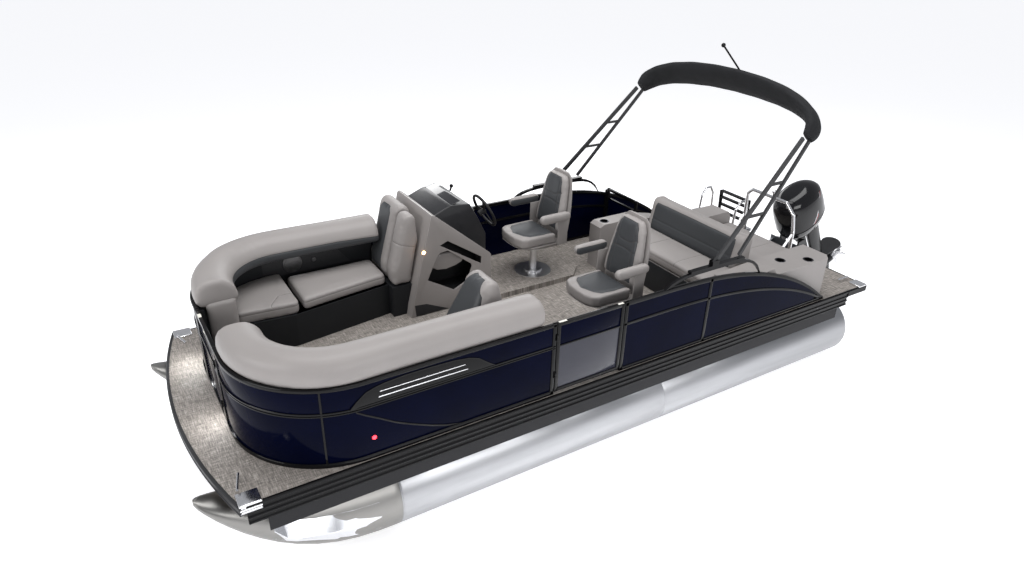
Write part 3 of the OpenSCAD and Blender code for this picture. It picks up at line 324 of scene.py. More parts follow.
def woven_floor():
    """The floor covering: two sets of streaks at right angles give both the colour and the bump."""
    made = bpy.data.materials.new("woven_vinyl_floor")
    made.use_nodes = True
    tree = made.node_tree
    shader = tree.nodes["Principled BSDF"]
    where = tree.nodes.new("ShaderNodeTexCoord")

    def yarns(across, along, seed):
        """Long thin streaks that run one way."""
        turn = tree.nodes.new("ShaderNodeMapping")
        turn.inputs["Scale"].default_value = (across, along, 1)
        turn.inputs["Location"].default_value = (seed, seed, 0)
        tree.links.new(where.outputs["Object"], turn.inputs["Vector"])
        streak = tree.nodes.new("ShaderNodeTexNoise")
        streak.inputs["Scale"].default_value = 1
        streak.inputs["Detail"].default_value = 4
        streak.inputs["Roughness"].default_value = .65
        tree.links.new(turn.outputs["Vector"], streak.inputs["Vector"])
        return streak.outputs["Fac"]

    warp, weft = yarns(10, 150, 3.1), yarns(150, 10, 7.7)
    meet = tree.nodes.new("ShaderNodeMath")
    meet.operation = "ADD"
    tree.links.new(warp, meet.inputs[0])
    tree.links.new(weft, meet.inputs[1])
    tint = tree.nodes.new("ShaderNodeValToRGB")
    ramp = tint.color_ramp
    ramp.elements[0].position, ramp.elements[0].color = .40, (.115, .104, .095, 1)
    ramp.elements[1].position, ramp.elements[1].color = .64, (.50, .46, .42, 1)
    ramp.elements.new(.51).color = (.255, .23, .208, 1)
    half = tree.nodes.new("ShaderNodeMath")
    half.operation = "MULTIPLY"
    half.inputs[1].default_value = .5
    tree.links.new(meet.outputs[0], half.inputs[0])
    tree.links.new(half.outputs[0], tint.inputs["Fac"])
    tree.links.new(tint.outputs["Color"], shader.inputs["Base Color"])
    shader.inputs["Roughness"].default_value = .62
    bump = tree.nodes.new("ShaderNodeBump")
    bump.inputs["Strength"].default_value = .4
    bump.inputs["Distance"].default_value = .0015
    tree.links.new(meet.outputs[0], bump.inputs["Height"])
    tree.links.new(bump.outputs["Normal"], shader.inputs["Normal"])
    return made


floor_weave = woven_floor()
dress("deck", floor_weave)
dress("helm_floor", floor_weave)

# ---------- rub rail and skirts ----------
# Black ribbed extrusions screwed to the deck edge along both sides, and shallower ones round bow and stern.
# Grey sheet skirts hang below them and shed the spray.
rail_black = new_finish("rail_black", (.005, .005, .0055), .26, coat=.04, specular=.12, vary=.15, scale=6,
                        stretch=(.3, 2, 2),
                        grain=.15, grain_scale=420)
edge_grey = new_finish("edge_grey", (.032, .032, .034), .42, specular=.15, vary=.12, scale=6, grain=.15,
                       grain_scale=420)
skirt_grey = new_finish("skirt_grey", (.022, .022, .024), .50, specular=.12, vary=.08, scale=3,
                        stretch=(.3, 2, 2))
dress("side_skirts", skirt_grey)


rib_face = [(-1270, 900), (-1288, 899), (-1293, 894), (-1293, 876), (-1286, 870), (-1286, 846), (-1294, 841),
            (-1295, 834), (-1294, 827), (-1286, 822), (-1286, 800), (-1294, 795), (-1295, 788), (-1294, 781),
            (-1286, 776), (-1286, 752), (-1294, 746), (-1294, 734), (-1288, 730), (-1270, 730)]
for side, name in SIDES:
    band = along_hull(rib_face, 22, 6330)
    eased(band, [e for e in band.edges if abs((e.verts[0].co - e.verts[1].co).x) > 1], 1.4, 2)
    if side > 0:
        mirrored(band)
    finish_piece(f"{name}_rub_rail", band, rail_black, "hull",
                 ("rub_rail",) if side < 0 else (), smooth=25)
    tail = along_hull([(-1270, 900), (-1290, 900), (-1295, 894), (-1295, 838), (-1290, 830), (-1270, 830)],
                      6330, 6630)
    if side > 0:
        mirrored(tail)
    finish_piece(f"{name}_rub_rail_tail", tail, rail_black, "hull", smooth=25)

BULGE, HALF, EDGE = 200, 1295, 1270
BOW_R = (HALF ** 2 + BULGE ** 2) / (2 * BULGE)
swing = math.asin(HALF / (BOW_R + HALF - EDGE))
bow_edge = bmesh.new()
outer = BOW_R + HALF - EDGE
first = bow_edge.faces.new([bow_edge.verts.new(at(BOW_R - BULGE - r * math.cos(swing), -r * math.sin(swing),
                                                  z)) for r, z in
                            [(outer - 27, 900), (outer - 5, 900), (outer, 894), (outer, 872),
                             (outer - 5, 866),
                             (outer - 5, 850), (outer, 844), (outer, 834), (outer - 4, 830),
                             (outer - 25, 830)]])
bmesh.ops.spin(bow_edge, geom=[first], cent=at(BOW_R - BULGE, 0, 0), axis=(0, 0, -1), angle=2 * swing,
               steps=64,
               use_duplicate=False)
finish_piece("bow_edge_rail", bow_edge, edge_grey, "hull", smooth=30)
stern_edge = side_form([(6605, 830), (6626, 830), (6630, 836), (6630, 848), (6625, 853), (6625, 868),
                        (6630, 874),
                        (6630, 895), (6625, 900), (6605, 900)], -1270, 1270)
finish_piece("stern_edge_rail", stern_edge, rail_black, "hull", smooth=30)

# ---------- corner castings and cleats ----------
# Cast alloy corner caps with four polished ribs, screwed over the ends of the rub rail.
# Chromed cleats on the deck take the mooring lines.
polished = new_finish("polished_alloy", (.80, .80, .81), .16, metallic=1, vary=.05, scale=14, grain=.3,
                      grain_scale=180)
dress("cleats", polished)
for side, name in SIDES:
    for end, x0, x1 in (("bow", -22, 130), ("stern", 6500, 6629)):
        cap = bmesh.new()
        for k in range(4):
            rib = bmesh.ops.create_cube(cap, size=1)["verts"]
            low, high = 902 - 18 * k, 908 - 18 * k
            for v in rib:
                v.co = at((x0 + x1) / 2 + v.co.x * (x1 - x0) * (1 - .06 * (k % 2)),
                          side * (1225 + v.co.y * (138 - 8 * (k % 2))), (low + high) / 2 + v.co.z * 17)
        eased(cap, cap.edges[:], 5, 3)
        finish_piece(f"{name}_{end}_casting", cap, polished, "hull",
                     ("corner_castings",) if (side, end) == (-1, "bow") else (), smooth=50, mend=False)

# ---------- fence ----------
# Square aluminium tube, bent round the bow, welded at the posts and coated gloss black.
# Thin sheets of deep navy fill it between the rails, and the top rail falls away aft in one long curve.
gloss_black = new_finish("gloss_black_coat", (.004, .004, .0045), .16, coat=.06, specular=.14, vary=.2,
                         scale=4, grain=.08, grain_scale=260)
navy_coat = new_finish("deep_navy_coat", (.0009, .0018, .011), .12, coat=0, vary=.25, scale=2.5, grain=.05,
                       grain_scale=120, rough_vary=.03, specular=.03)
FENCE_Y, FENCE_R, FRONT, TOP, MIDDLE = 1265, 800, 110, 1580, 1345
CORNER_X, CORNER_Y = FRONT + FENCE_R, FENCE_Y - FENCE_R
GATE_Y = 330


def rounded_box(u0, u1, z0, z1, r, steps=3):
    """A rectangle with rounded corners, as a loop of (inward distance, height)."""
    loop = []
    for cu, cz, turn in ((u1 - r, z1 - r, 0), (u0 + r, z1 - r, 90), (u0 + r, z0 + r, 180),
                         (u1 - r, z0 + r, 270)):
        for k in range(steps + 1):
            a = math.radians(turn + 90 * k / steps)
            loop.append((cu + r * math.cos(a), cz + r * math.sin(a)))
    return loop


def round_bow(section, x_to, y_to, corner_steps=28):
    """A section run from a station forward along the port fence, round the bow corner and across the front."""
    bm = bmesh.new()
    cap = bm.faces.new([bm.verts.new(at(x_to, u - FENCE_Y, z)) for u, z in section])
    face = carried(bm, [cap], (CORNER_X - x_to, 0, 0))
    turned = bmesh.ops.spin(bm, geom=[face], cent=at(CORNER_X, -CORNER_Y, 0), axis=(0, 0, -1),
                            angle=math.pi / 2, steps=corner_steps, use_duplicate=False)
    face = next(g for g in turned["geom_last"] if isinstance(g, bmesh.types.BMFace))
    carried(bm, [face], (0, y_to + CORNER_Y, 0))
    inner = [f for f in bm.faces if all(len(e.link_faces) > 2 for e in f.edges)]
    bmesh.ops.delete(bm, geom=inner, context="FACES_ONLY")
    bmesh.ops.recalc_face_normals(bm, faces=bm.faces)
    return bm


def joined(*parts):
    """Several bmeshes as one."""
    whole = parts[0]
    for part in parts[1:]:
        spare = bpy.data.meshes.new("spare")
        part.to_mesh(spare)
        part.free()
        whole.from_mesh(spare)
        bpy.data.meshes.remove(spare)
    return whole


def bevelled_bars(boxes, edge=3.0, segments=2):
    """Square bars, each from one corner (station, side, height) to the other, with eased edges."""
    bm = bmesh.new()
    for low, high in boxes:
        for v in bmesh.ops.create_cube(bm, size=1)["verts"]:
            v.co = at(*[(a + b) / 2 + c * (b - a) for a, b, c in zip(low, high, v.co)])
    return eased(bm, bm.edges[:], edge, segments)


def fall(x, x0, x1, h):
    """Height above the deck of a rail that falls aft in one long curve."""
    return h if x < x0 else h * max(0, 1 - ((x - x0) / (x1 - x0)) ** 2.5) ** .9


def spaced(a, b, n):
    """Stations from a to b in n equal steps."""
    return [a + (b - a) * i / n for i in range(n + 1)]


FALL_X, FALL_END, RAIL = 3700, 5940, 34
mid_rail = [(0, MIDDLE + RAIL - 3), (3, MIDDLE + RAIL), (RAIL - 5, MIDDLE + RAIL),
            (RAIL - 2, MIDDLE + RAIL - 3),
            (RAIL - 2, MIDDLE + 3), (RAIL - 5, MIDDLE), (3, MIDDLE), (0, MIDDLE + 3), (0, MIDDLE + 11),
            (6, MIDDLE + 14), (6, MIDDLE + 19), (0, MIDDLE + 22)]


def bow_rails(x_to):
    """The bent rails of one bow side, with the post at the bow gate."""
    rails = [round_bow(rounded_box(0, 32, 900, 934, 5), x_to, -GATE_Y - 42),
             round_bow(mid_rail, x_to, -GATE_Y - 42),
             round_bow(rounded_box(0, 32, TOP - RAIL, TOP, 9), x_to, -GATE_Y - 42),
             round_bow(rounded_box(-1, 4, 936, 942, 1.5), x_to, -GATE_Y - 42)]
    rails.append(bevelled_bars([((FRONT, -GATE_Y - 42, 900), (FRONT + 32, -GATE_Y - 6, TOP))], 5))
    return joined(*rails)


def above_deck(line):
    """A side line held just above the deck, where the rail runs out."""
    return [(x, max(z, 902)) for x, z in line]


def aft_rails(x_from):
    """The falling top rail, the middle rail and the deck rail from a station aft."""
    xs = spaced(x_from, FALL_END, 40)
    top = [(x, 900 + fall(x, FALL_X, FALL_END, 680)) for x in xs]
    under = [(x, z - RAIL) for x, z in top]
    ms = spaced(x_from, FALL_END - 30, 40)
    rise = [484 - 5 * ((3650 - x) / (3650 - x_from)) ** 2 if x < 3650 else fall(x, 3650, FALL_END - 10, 484)
            for x in ms]
    mid = [(x, 900 + h) for x, h in zip(ms, rise)]
    low = [(x, z - 27) for x, z in mid]
    rails = [side_form(top + above_deck(under)[::-1], -FENCE_Y, -FENCE_Y + 32, 5),
             side_form(mid + above_deck(low)[::-1], -FENCE_Y, -FENCE_Y + 30, 4),
             bevelled_bars([((x_from, -FENCE_Y, 900), (FALL_END - 10, -FENCE_Y + 32, 934))], 5)]
    return joined(*rails)


def post(x, top, wide=36):
    """An upright of the port fence, from the deck to its top."""
    return (x, -FENCE_Y, 900), (x + wide, -FENCE_Y + 32, top)


SEAM_X = 4180
seam_top = 900 + fall(SEAM_X + 36, FALL_X, FALL_END, 680)
port_rails = joined(bow_rails(2511), aft_rails(3204),
                    bevelled_bars([post(2475, TOP), post(3204, TOP), post(SEAM_X, seam_top)], 5))
finish_piece("port_rails", port_rails, gloss_black, "hull", ("port_fence_frame",), smooth=30)
star_rails = joined(bow_rails(2511), aft_rails(2511),
                    bevelled_bars([post(2475, TOP), post(SEAM_X, seam_top)], 5))
finish_piece("starboard_rails", mirrored(star_rails), gloss_black, "hull",
             ("starboard_fence_frame",),
             smooth=30)
stern_post = bevelled_bars([((4936, 1203, 900), (4964, 1233, 1480))], 4)
finish_piece("stern_gate_post", stern_post, gloss_black, "hull")


def bow_sheets():
    """The lower and upper sheets that follow the port bow."""
    return joined(round_bow(rounded_box(8, 20, 930, MIDDLE + 4, 1), 2480, -GATE_Y - 40, corner_steps=40),
                  round_bow(rounded_box(8, 20, MIDDLE + 28, TOP - 28, 1), 2480, -GATE_Y - 40,
                            corner_steps=40))


def aft_sheet(x_from):
    """The port sheet under the falling rail."""
    xs = spaced(x_from, FALL_END - 160, 40)
    top = [(x, 900 + fall(x, FALL_X, FALL_END, 663)) for x in xs]
    return side_form([(x_from, 925)] + top + [(FALL_END - 160, 925)], -FENCE_Y + 8, -FENCE_Y + 20)


finish_piece("port_bow_sheets", bow_sheets(), navy_coat, "hull", ("port_bow_panels",),
             smooth=25)
finish_piece("port_aft_sheet", aft_sheet(3235), navy_coat, "hull", ("port_aft_panels",),
             smooth=25)
finish_piece("starboard_bow_sheets", mirrored(bow_sheets()), navy_coat, "hull",
             ("starboard_bow_panels",), smooth=25)
finish_piece("starboard_aft_sheet", mirrored(aft_sheet(2511)), navy_coat, "hull",
             ("starboard_aft_panels",), smooth=25)

# ---------- fence trim ----------
# Black moulded trim screwed to each bow side, with two bright bars set in it and a sweeping strip below.
# A flat black cover strip hides the joint of the sheets at the bow corner.
bright_bar = new_finish("bright_bar", (.75, .75, .77), .22, metallic=1, vary=.05, scale=20)
vent_top = [(800, 1384), (845, 1430), (915, 1486), (980, 1508), (1051, 1522), (1210, 1535), (1400, 1536),
            (1600, 1530),
            (1730, 1512), (1810, 1483), (1882, 1425), (1955, 1374)]
sweep = [(835, 1352), (900, 1305), (1004, 1239), (1120, 1160), (1254, 1090), (1400, 1022), (1523, 976),
         (1640, 945), (1790, 930)]


SEAM_TURN = math.radians(68)   # round the bow corner from dead ahead


def strip(line, wide, lift):
    """A flat strip on the outside of the port sheets, wide in the height direction."""
    outline = line + [(x, z - wide) for x, z in reversed(line)]
    return side_form(outline, -FENCE_Y + 12 - lift, -FENCE_Y + 10, 1.2)


for side, name in SIDES:
    vent = side_form(vent_top + [(1955, 1372), (800, 1372)], -FENCE_Y + 4, -FENCE_Y + 10, 1.5)
    rim = strip(vent_top, 9, 10)
    sweeper = strip(sweep, 16, 9)
    seam = bmesh.new()
    for v in bmesh.ops.create_cube(seam, size=1)["verts"]:
        c, s = math.cos(SEAM_TURN), math.sin(SEAM_TURN)
        r = FENCE_R - 6 + v.co.y * 8
        v.co = at(CORNER_X - r * c + v.co.x * 14 * s, -CORNER_Y - r * s + v.co.x * 14 * -c,
                  1240 + v.co.z * 620)
    trim = joined(vent, rim, sweeper, seam)
    bars = joined(side_form([(1010, 1424), (1708, 1424), (1716, 1416), (1004, 1414)], -FENCE_Y - 1,
                            -FENCE_Y + 6, 2),
                  side_form([(1020, 1466), (1690, 1468), (1696, 1461), (1016, 1459)], -FENCE_Y - 1,
                            -FENCE_Y + 6, 2))
    if side > 0:
        mirrored(trim), mirrored(bars)
    finish_piece(f"{name}_vent_trim", trim, gloss_black, "hull", smooth=30)
    finish_piece(f"{name}_vent_bars", bars, bright_bar, "hull", smooth=30)

# ---------- gates ----------
# Each gate is a frame of square tube, welded and coated like the fence, with sheets between its bars.
# It hangs on two black barrel hinges, and the side gate's lower sheet is a paler grey.
gate_sheet = new_finish("gate_sheet", (.030, .031, .044), .14, coat=.1, specular=.3, vary=.1, scale=2)


def turned_disc(bm, r0, r1, deep, place, turn=Matrix.Identity(3), segments=40):
    """A disc or cone off the lathe, its axis turned from upright and its middle at a place."""
    made = bmesh.ops.create_cone(bm, cap_ends=True, segments=segments, radius1=r0 / 1000, radius2=r1 / 1000,
                                 depth=deep / 1000)["verts"]
    bmesh.ops.rotate(bm, verts=made, matrix=turn)
    bmesh.ops.translate(bm, verts=made, vec=place)


def hinge_barrels(x, y):
    """Two hinges on one upright line, each of two barrels with a hair gap between them."""
    bm = bmesh.new()
    for z in (160, 520):
        for low in (0, 30.5):
            turned_disc(bm, 8, 8, 30, at(x, y, 900 + z + low + 15), segments=20)
    return eased(bm, [e for e in bm.edges if abs((e.verts[0].co - e.verts[1].co).z) < 1e-6], 1.5, 2)


def gate_leaf(face, run, high, bar, edge, crosswise=True):
    """Two posts and three bars in one plane: its faces, its span over the posts, its top and its middle bar."""
    (f0, f1), (r0, r1) = face, run
    boxes = [((f0, r0, GATE_LOW), (f1, r0 + RAIL, high)), ((f0, r1 - RAIL, GATE_LOW), (f1, r1, high))]
    for low, top in ((GATE_LOW, GATE_LOW + RAIL), (bar, bar + 17), (high - RAIL, high)):
        boxes.append(((f0 + 1, r0 + 30, low), (f1 - 1, r1 - 30, top)))
    return bevelled_bars(boxes if crosswise else [[(y, x, z) for x, y, z in box] for box in boxes], edge)


GATE_LOW = 920
bow_leaf = gate_leaf((110, 142), (-330, 330), TOP, 1353, 5)
finish_piece("bow_gate_frame", joined(bow_leaf, hinge_barrels(102, -333)), gloss_black, "bow_gate",
             ("bow_gate",), smooth=30)
bow_infill = bevelled_bars([((119, -300, 950), (129, 300, 1356)), ((119, -300, 1368), (129, 300, 1550))], 1)
finish_piece("bow_gate_sheets", bow_infill, navy_coat, "bow_gate", smooth=30)
side_leaf = gate_leaf((-1265, -1233), (2517, 3198), TOP, 1353, 5, crosswise=False)
finish_piece("side_gate_frame", joined(side_leaf, hinge_barrels(2514, -1273)), gloss_black, "side_gate",
             ("side_gate",), smooth=30)
finish_piece("side_gate_upper_sheet", bevelled_bars([((2547, -1257, 1368), (3168, -1245, 1550))], 1),
             navy_coat,
             "side_gate", smooth=30)
finish_piece("side_gate_lower_sheet", bevelled_bars([((2547, -1257, 950), (3168, -1245, 1356))], 1),
             gate_sheet,
             "side_gate", smooth=30)
stern_leaf = gate_leaf((4936, 4964), (657, 1197), 1510, 1380, 4)
finish_piece("stern_gate_frame", joined(stern_leaf, hinge_barrels(4972, 1200)), gloss_black, "stern_gate",
             ("stern_gate",), smooth=30)
finish_piece("stern_gate_sheet", bevelled_bars([((4944, 687, 950), (4956, 1167, 1384))], 1), navy_coat,
             "stern_gate",
             smooth=30)
finish_piece("fence_hinge_stubs", bevelled_bars([((96, -352, 1060), (104, -336, 1090)),
                                                 ((96, -352, 1420), (104, -336, 1450))], 2),
             gloss_black, "hull", smooth=30)

# ---------- vinyl ----------
# Marine vinyl cut to pattern, sewn with welted seams and pulled over foam.
# Seams and two-tone borders follow distances stored on the mesh, in millimetres.


def vinyl(name, colour, second=None, gloss=.42):
    """Grained vinyl. Where "inset" is above nought the second colour shows, and seams are dark lines."""
    made = new_finish(name, colour, gloss, vary=.035, scale=3, grain=.22, grain_scale=330, rough_vary=.05)
    tree = made.node_tree
    shader = tree.nodes["Principled BSDF"]
    base = shader.inputs["Base Color"].links[0].from_socket

    def link_mix(first, second_colour, factor):
        """The first colour, changed to the second where the factor is one."""
        mix = tree.nodes.new("ShaderNodeMix")
        mix.data_type = "RGBA"
        tree.links.new(factor, mix.inputs["Factor"])
        tree.links.new(first, mix.inputs["A"])
        mix.inputs["B"].default_value = (*second_colour, 1)
        return mix.outputs["Result"]

    def stored(attribute, low, high, absolute):
        """Nought to one between two values of a stored distance, or of its size."""
        read = tree.nodes.new("ShaderNodeAttribute")
        read.attribute_name = attribute
        value = read.outputs["Fac"]
        if absolute:
            size = tree.nodes.new("ShaderNodeMath")
            size.operation = "ABSOLUTE"
            tree.links.new(value, size.inputs[0])
            value = size.outputs[0]
        ramp = tree.nodes.new("ShaderNodeMapRange")
        ramp.inputs["From Min"].default_value, ramp.inputs["From Max"].default_value = low, high
        tree.links.new(value, ramp.inputs["Value"])
        return ramp.outputs["Result"]

    if second:
        base = link_mix(base, second, stored("inset", -.5, .5, False))
        base = link_mix(base, [c * .25 for c in second], stored("inset", 2.6, 1.2, True))
    base = link_mix(base, [c * .22 for c in colour], stored("seam", 2.2, 1.0, True))
    tree.links.new(base, shader.inputs["Base Color"])
    return made


GREY, CHARCOAL = (.285, .266, .257), (.052, .055, .059)
plain_vinyl = vinyl("warm_grey_vinyl", GREY)
two_tone = vinyl("two_tone_vinyl", GREY, CHARCOAL)
FAR = 400.0   # a distance that shows no seam and no border
base_grain = new_finish("bench_skirt", (.016, .017, .019), .45, specular=.2, vary=.06, scale=3, grain=.25,
                        grain_scale=330)
mould_grey = new_finish("moulded_grey", GREY, .38, vary=.03, scale=3, grain=.15, grain_scale=330)


def inside(points, polygon):
    """Distance in from a closed outline, in the outline's own plane; negative outside it."""
    p = points[:, None, :]
    a = np.array(polygon, float)
    b = np.roll(a, -1, axis=0)
    along = b - a
    t = np.clip(((p - a) * along).sum(2) / (along ** 2).sum(1), 0, 1)
    gap = np.linalg.norm(p - (a + along * t[..., None]), axis=2).min(1)
    crosses = ((a[:, 1] > p[..., 1]) != (b[:, 1] > p[..., 1])) & (
        p[..., 0] < (b - a)[:, 0] * (p[..., 1] - a[:, 1]) / (b[:, 1] - a[:, 1] + 1e-9) + a[:, 0])
    return np.where(crosses.sum(1) % 2 == 1, gap, -gap)


def both(first, second):
    """One distance that is nought on either of two seams."""
    return first * second / (np.abs(first) + np.abs(second) + 1e-6)


def coordinates(mesh):
    """The places of a mesh's vertices, one to a row."""
    flat = np.empty(len(mesh.vertices) * 3, np.float32)
    mesh.vertices.foreach_get("co", flat)
    return flat.reshape(-1, 3).astype(float)


def soften(items, voxel=.016, swell=.010, pressure=4.0):
    """Closed forms made soft: an even fine mesh, then cloth blown out like vinyl over foam, above its seat."""
    scene = bpy.context.scene
    pads = []
    for item in items:
        bmesh.ops.recalc_face_normals(item["form"], faces=item["form"].faces)
        mesh = bpy.data.meshes.new(item["name"])
        item["form"].to_mesh(mesh)
        item["form"].free()
        pad = bpy.data.objects.new(item["name"], mesh)
        scene.collection.objects.link(pad)
        even = pad.modifiers.new("even", "REMESH")
        even.mode = "VOXEL"
        even.voxel_size = item.get("voxel", voxel)
        pads.append(pad)

    def evaluated():
        """Each pad's mesh with its modifiers applied."""
        scene_now = bpy.context.evaluated_depsgraph_get()
        return [bpy.data.meshes.new_from_object(pad.evaluated_get(scene_now)) for pad in pads]

    for pad, fine in zip(pads, evaluated()):
        pad.modifiers.clear()
        bm = bmesh.new()
        bm.from_mesh(fine)
        for _ in range(2):
            bmesh.ops.smooth_vert(bm, verts=bm.verts, factor=.5, use_axis_x=True, use_axis_y=True,
                                  use_axis_z=True)
        bm.to_mesh(fine)
        bm.free()
        pad.data = fine
    rest = [coordinates(pad.data) for pad in pads]
    for pad in pads:
        cloth = pad.modifiers.new("cloth", "CLOTH")
        cloth.settings.quality = 4
        cloth.settings.mass = .3
        cloth.settings.use_pressure = True
        cloth.settings.uniform_pressure_force = pressure
        cloth.settings.effector_weights.gravity = 0
        cloth.collision_settings.use_collision = False
        cloth.point_cache.frame_start, cloth.point_cache.frame_end = 1, 20
    for frame_number in range(1, 21):
        scene.frame_set(frame_number)
    blown = [coordinates(mesh) for mesh in evaluated()]
    for pad, before, after, item in zip(pads, rest, blown, items):
        pad.modifiers.clear()
        move = after - before
        far = np.linalg.norm(move, axis=1, keepdims=True)
        limit = item.get("swell", swell)
        move *= limit * np.tanh(far / limit) / np.maximum(far, 1e-9)
        seat = before[:, 2] < before[:, 2].min() + .01
        move[seat, 2] = np.maximum(move[seat, 2], 0)
        pad.data.vertices.foreach_set("co", (before + move).astype(np.float32).ravel())
    scene.frame_set(1)
    for pad in pads:
        finer = pad.modifiers.new("finer", "SUBSURF")
        finer.levels = finer.render_levels = 1
    made = []
    for pad, fine, item in zip(pads, evaluated(), items):
        pad.modifiers.clear()
        pad.data = fine
        spots = coordinates(fine)
        place = spots * 1000 - np.array([BOW * 1000, 0, 0])
        normals = np.empty(len(spots) * 3, np.float32)
        fine.vertices.foreach_get("normal", normals)
        normals = normals.reshape(-1, 3)
        push = np.zeros(len(spots))
        for kind in ("inset", "seam"):
            rule = item.get(kind)
            reach = np.clip(rule(place, normals), -FAR, FAR) if rule else np.full(len(spots), -FAR)
            fine.attributes.new(kind, "FLOAT", "POINT").data.foreach_set("value", reach.astype(np.float32))
            push += item.get("groove", 3.5) / 1000 * np.exp(-(reach / 7) ** 2)
        for rule, depth, wide in item.get("channels", ()):
            push += depth / 1000 * np.exp(-(rule(place, normals) / wide) ** 2)
        spots -= normals * push[:, None]
        fine.vertices.foreach_set("co", spots.astype(np.float32).ravel())
        for face in fine.polygons:
            face.use_smooth = True
        fine.materials.clear()
        fine.materials.append(item["finish"])
        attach(pad, item["body"])
        if item.get("replaces"):
            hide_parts(*item["replaces"])
        made.append(pad)
    return made


def plan_form(outline, z0, z1, corner, edge):
    """A plan (station, side) carried upwards, its corners rounded and then its top and bottom edges."""
    bm = bmesh.new()
    first = bm.faces.new([bm.verts.new(at(x, y, z0)) for x, y in outline])
    carried(bm, [first], (0, 0, z1 - z0))
    bmesh.ops.recalc_face_normals(bm, faces=bm.faces)
    eased(bm, [e for e in bm.edges if abs((e.verts[0].co - e.verts[1].co).z) > 1e-4], corner)
    rims = [e for e in bm.edges if abs((e.verts[0].co - e.verts[1].co).z) < 1e-5 and e.calc_face_angle(0) > .8]
    return eased(bm, rims, edge)


def block(low, high, edge):
    """A foam block with all its edges well rounded."""
    return bevelled_bars([(low, high)], edge, 5)


# ---------- bow side walls ----------
# Boards wrapped in charcoal vinyl and screwed inside the fence, in three bands under the coaming.
# A speaker with a metal grille and a small round control sit in a shallow recess on each side.


def wall_board(x_to):
    """The three bands of one side: how far in, how high, and the rounding of their edges."""
    bands = ((74, 902, 1210, 8), (76, 1214, 1500, 10), (72, 1503, 1543, 6))
    return joined(*[round_bow(rounded_box(36, deep, low, high, r, 2), x_to, -GATE_Y - 22, corner_steps=36)
                    for deep, low, high, r in bands])


for side, name, x_to in ((-1, "port", 2425), (1, "starboard", 1928)):
    board = wall_board(x_to)
    if side > 0:
        mirrored(board)
    finish_piece(f"{name}_bow_wall", board, base_grain, "hull",
                 ("bow_side_walls",) if side < 0 else (), smooth=40)

speaker_metal = new_finish("speaker_grille", (.32, .32, .33), .3, metallic=1, vary=.1, scale=30)
speaker_black = new_finish("speaker_black", (.02, .02, .022), .5, vary=.1, scale=30)
WALL_FACE = 1189
FACING_IN = Matrix.Rotation(-math.pi / 2, 3, "X")
recess_line = [(743, 1290), (789, 1418), (901, 1465), (1027, 1488), (1308, 1494), (1506, 1490), (1560, 1465),
               (1690, 1292)]
for side, name in SIDES:
    plate = side_form(recess_line, -WALL_FACE, -WALL_FACE + 4, 1.5)
    speaker = bmesh.new()
    for r, deep in ((95, 10), (78, 13), (58, 9), (38, 12), (20, 16)):
        turned_disc(speaker, r, r - 4, deep, at(1121, -WALL_FACE + deep / 2, 1393), FACING_IN, 48)
    turned_disc(speaker, 24, 20, 14, at(1330, -WALL_FACE + 7, 1390), FACING_IN, 32)
    if side > 0:
        mirrored(plate), mirrored(speaker)
    finish_piece(f"{name}_speaker_board", plate, speaker_black, "hull", smooth=40)
    finish_piece(f"{name}_bow_speaker", speaker, speaker_metal, "hull", smooth=40,
                 mend=False)

# ---------- bow bench bases ----------
# Roto-moulded boxes screwed to the deck, the bow ones behind charcoal vinyl skirts.
# Their shape is the frame's own.
dress("port_bench_base", base_grain)
dress("starboard_bench_base", base_grain)
dress("lounge_base", mould_grey)

# ---------- coaming rolls ----------
# Thick foam rolls under sewn vinyl that cap the fence from the bow gate aft.
# The vinyl is warm grey outside and above, and charcoal low on the inside.
coaming_line = [(12, 1590), (12, 1650), (20, 1700), (48, 1744), (100, 1771), (172, 1778), (240, 1766),
                (298, 1730),
                (334, 1680), (350, 1625), (350, 1580), (336, 1556), (300, 1552), (170, 1552), (60, 1552),
                (40, 1556), (40, 1584), (24, 1588)]


def coaming_band(place, normals):
    """Charcoal low on the inner side, tapering away towards the aft end."""
    x, y, z = place[:, 0], np.abs(place[:, 1]), place[:, 2]
    around = np.where(x > CORNER_X, FENCE_Y - y,
                      np.where(y < CORNER_Y, x - FRONT, FENCE_R - np.hypot(x - CORNER_X, y - CORNER_Y)))
    return np.where((around > 200) & (y > 420), 1640 - np.clip((x - 1500) * .05, 0, 60) - z, -FAR)


for side, name, x_to, replaced in ((-1, "port", 2420, "port_coaming"),
                                   (1, "starboard", 1924, "starboard_coaming")):
    roll = round_bow(coaming_line, x_to, -GATE_Y - 34, corner_steps=20)
    ends = [f for f in roll.faces if len(f.verts) > 10]
    eased(roll, list({e for f in ends for e in f.edges}), 34, 4)
    cap = block((198, -412, 1032), (448, -358, 1600), 24)
    if side > 0:
        mirrored(roll), mirrored(cap)
    soften([dict(name=f"{name}_coaming_roll", form=roll, body="hull", finish=two_tone, replaces=(replaced,),
                 inset=coaming_band, voxel=.020, swell=.008),
            dict(name=f"{name}_coaming_end", form=cap, body="hull", finish=plain_vinyl, swell=.007)])

